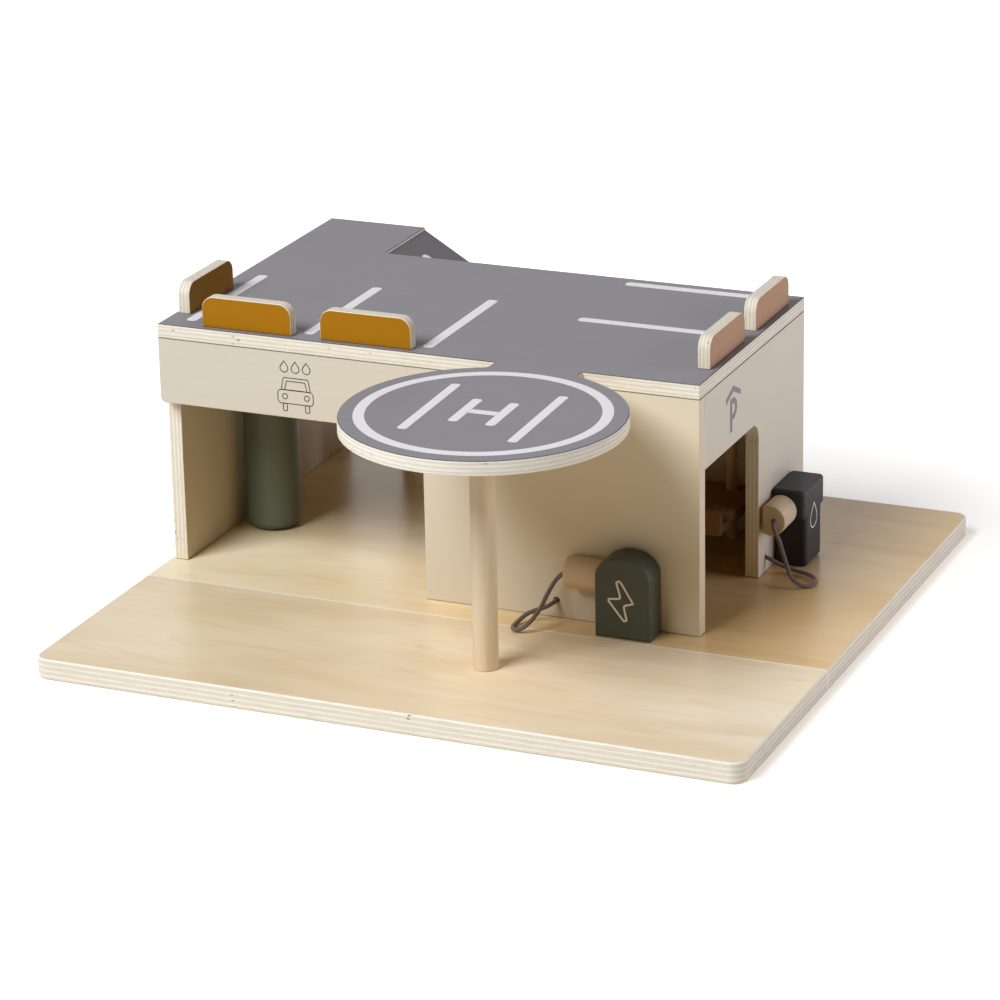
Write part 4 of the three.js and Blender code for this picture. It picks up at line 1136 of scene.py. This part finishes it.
def add_grip(node, axis, middle, flat_way, cord_spot):
    """The turned dowel for a node along an axis: its middle line, its flat side and the place of its cord."""
    number = "xyz".index(axis)
    way = Vector((0, 0, 0))
    way[number] = 1
    low, high = corners(node)
    start, stop = Vector(middle), Vector(middle)
    start[number], stop[number] = low[number], high[number] - pin_long
    grip = add_rod(axis, start, stop, grip_radius, 96)
    grip.name = node + "_turned"
    flat_spot = middle + flat_way * grip_flat
    flat_number = [abs(part) for part in flat_way].index(1)

    def on_rim(a, b, end):
        return near(a[number], end[number]) and near(b[number], end[number])

    def on_long_flat(a, b):
        on_flat = all(near(end[flat_number], flat_spot[flat_number]) for end in (a, b))
        return on_flat and abs(a[number] - b[number]) > grip_radius

    bpy.ops.object.mode_set(mode="EDIT")
    bpy.ops.mesh.select_all(action="SELECT")
    bpy.ops.mesh.bisect(plane_co=flat_spot, plane_no=flat_way, use_fill=True, clear_outer=True)
    bpy.ops.object.mode_set(mode="OBJECT")
    pick_edges(grip, lambda a, b: on_rim(a, b, start) or on_rim(a, b, stop))
    bpy.ops.mesh.bevel(offset=grip_ease, segments=4)
    pick_edges(grip, on_long_flat)
    bpy.ops.mesh.bevel(offset=flat_ease, segments=2)
    bpy.ops.object.mode_set(mode="OBJECT")
    pin_end = stop + way * pin_long
    pin = add_rod(axis, (start + stop) / 2, pin_end, pin_radius, 48)
    pick_edges(pin, lambda a, b: on_rim(a, b, pin_end))
    bpy.ops.mesh.bevel(offset=pin_ease, segments=3)
    bpy.ops.object.mode_set(mode="OBJECT")
    combine(grip, pin, "UNION")
    outside, inside = Vector(cord_spot), Vector(cord_spot)
    outside[number], inside[number] = low[number] - 0.001, low[number] + cord_hole_deep
    drill_away(grip, outside, inside, cord_hole_radius, axis)
    soften(grip)
    stand_for(grip, node, turned_wood(node + "_beech", grip_pale, grip_deep, axis))


add_grip("charger_plug", "x", spot(0, plug_y, plug_z), Vector((0, 1, 0)), spot(0, 181.4, plug_z))


# The fuel pump is a solid block in slate paint, a narrow body with a wider head, screwed to the right wall.
# A drop is printed on its side, and the nozzle's pin goes into the front of the head.
pump_ease = 0.0028


def rounded_block(name, low, high):
    block = add_block(name, low, high)
    bpy.ops.object.mode_set(mode="EDIT")
    bpy.ops.mesh.select_all(action="SELECT")
    bpy.ops.mesh.bevel(offset=pump_ease, segments=6)
    bpy.ops.object.mode_set(mode="OBJECT")
    return block


pump_low, pump_high = corners("pump_block")
head_low = Vector((pump_low.x, pump_low.y, spot(0, 0, 36.2).z))
pump = rounded_block("pump_block_painted", head_low, pump_high)
body_low = Vector((pump_low.x, spot(0, 336.2, 0).y, pump_low.z))
body_high = Vector((pump_high.x, spot(0, 368.2, 0).y, spot(0, 0, 46).z))
combine(pump, rounded_block("pump_body", body_low, body_high), "UNION")
nozzle_x, nozzle_z = 409.7, 43.7
drill_away(pump, spot(nozzle_x, 329, nozzle_z), spot(nozzle_x, 346, nozzle_z), socket_radius, "y")
soften(pump, 30)
slate = painted_wood("pump_slate", colour(44, 43, 48), gloss=0.22)
stand_for(pump, "pump_block", slate)


def on_pump(y, z):
    return spot(425.6, y, z)


drop = [
    (352, 44.6), (348.2, 40), (344.6, 35), (344, 31.5), (345.4, 28), (349.2, 25.2),
    (354.4, 25.6), (357.8, 28.2), (358.9, 32), (357.9, 36), (355, 40.6),
]
print_shape("pump_drop", drop, on_pump, white_ink, corner=0.8, line=1.0)

add_grip("fuel_nozzle", "y", spot(nozzle_x, 0, nozzle_z), Vector((-1, 0, 0)), spot(412.4, 0, nozzle_z))


# The sign on the right wall is the letter P under a small roof, printed in grey ink.
# It stands for covered parking.
def on_right_wall(y, z):
    return spot(house_right, y, z)


grey_ink = ink_material("grey_ink", colour(122, 112, 118))
roof = [(239.6, 151.3), (239.6, 147.6), (253.7, 153.4), (268.1, 147), (268.1, 150.7), (253.7, 157.5)]
print_shape("parking_roof", roof, on_right_wall, grey_ink, corner=0.6)
bowl_y, bowl_z, bowl_radius = 253.4, 141.35, 7.65
bowl = [(247.5, 133.7), (bowl_y, 133.7)]
for step in range(1, 21):
    turn = math.pi * step / 20 - math.pi / 2
    bowl.append((bowl_y + bowl_radius * math.cos(turn), bowl_z + bowl_radius * math.sin(turn)))
bowl.append((247.5, 149))
print_shape("parking_bowl", bowl, on_right_wall, grey_ink, line=4)
print_shape("parking_stem", box_points(247.5, 125.5, 251.5, 133.9), on_right_wall, grey_ink)


# The car lift in the right bay is a small plywood platform with a low rail and a round grip at its front,
# all in a dark brown that is painted shade for the dark inside of the bay. It slides up and down on two
# beech dowels that run from base to deck.
lift_shade_brown = colour(140, 104, 72)
lift_shade_layers = dict(kerb_layers, Ground=colour(150, 116, 84), Line=colour(128, 94, 66))
for node, name, axis, face in (
    ("lift_platform", "lift_brown_ply", "z", corners("lift_platform")[1].z),
    ("lift_front_rail", "lift_rail_brown", "y", corners("lift_front_rail")[0].y),
):
    shaded_ply = board_material(name, axis, face, lift_shade_layers, "x", lift_shade_brown, grain_amount=0.3)
    smooth_copy(node, node + "_birch", shaded_ply)
lift_grip_shade = turned_wood("lift_grip_brown", colour(150, 114, 80), colour(126, 92, 62), "x")
smooth_copy("lift_grip", "lift_grip_turned", lift_grip_shade)
for node in ("lift_guide_left", "lift_guide_right"):
    smooth_copy(node, node + "_turned", plain_beech)
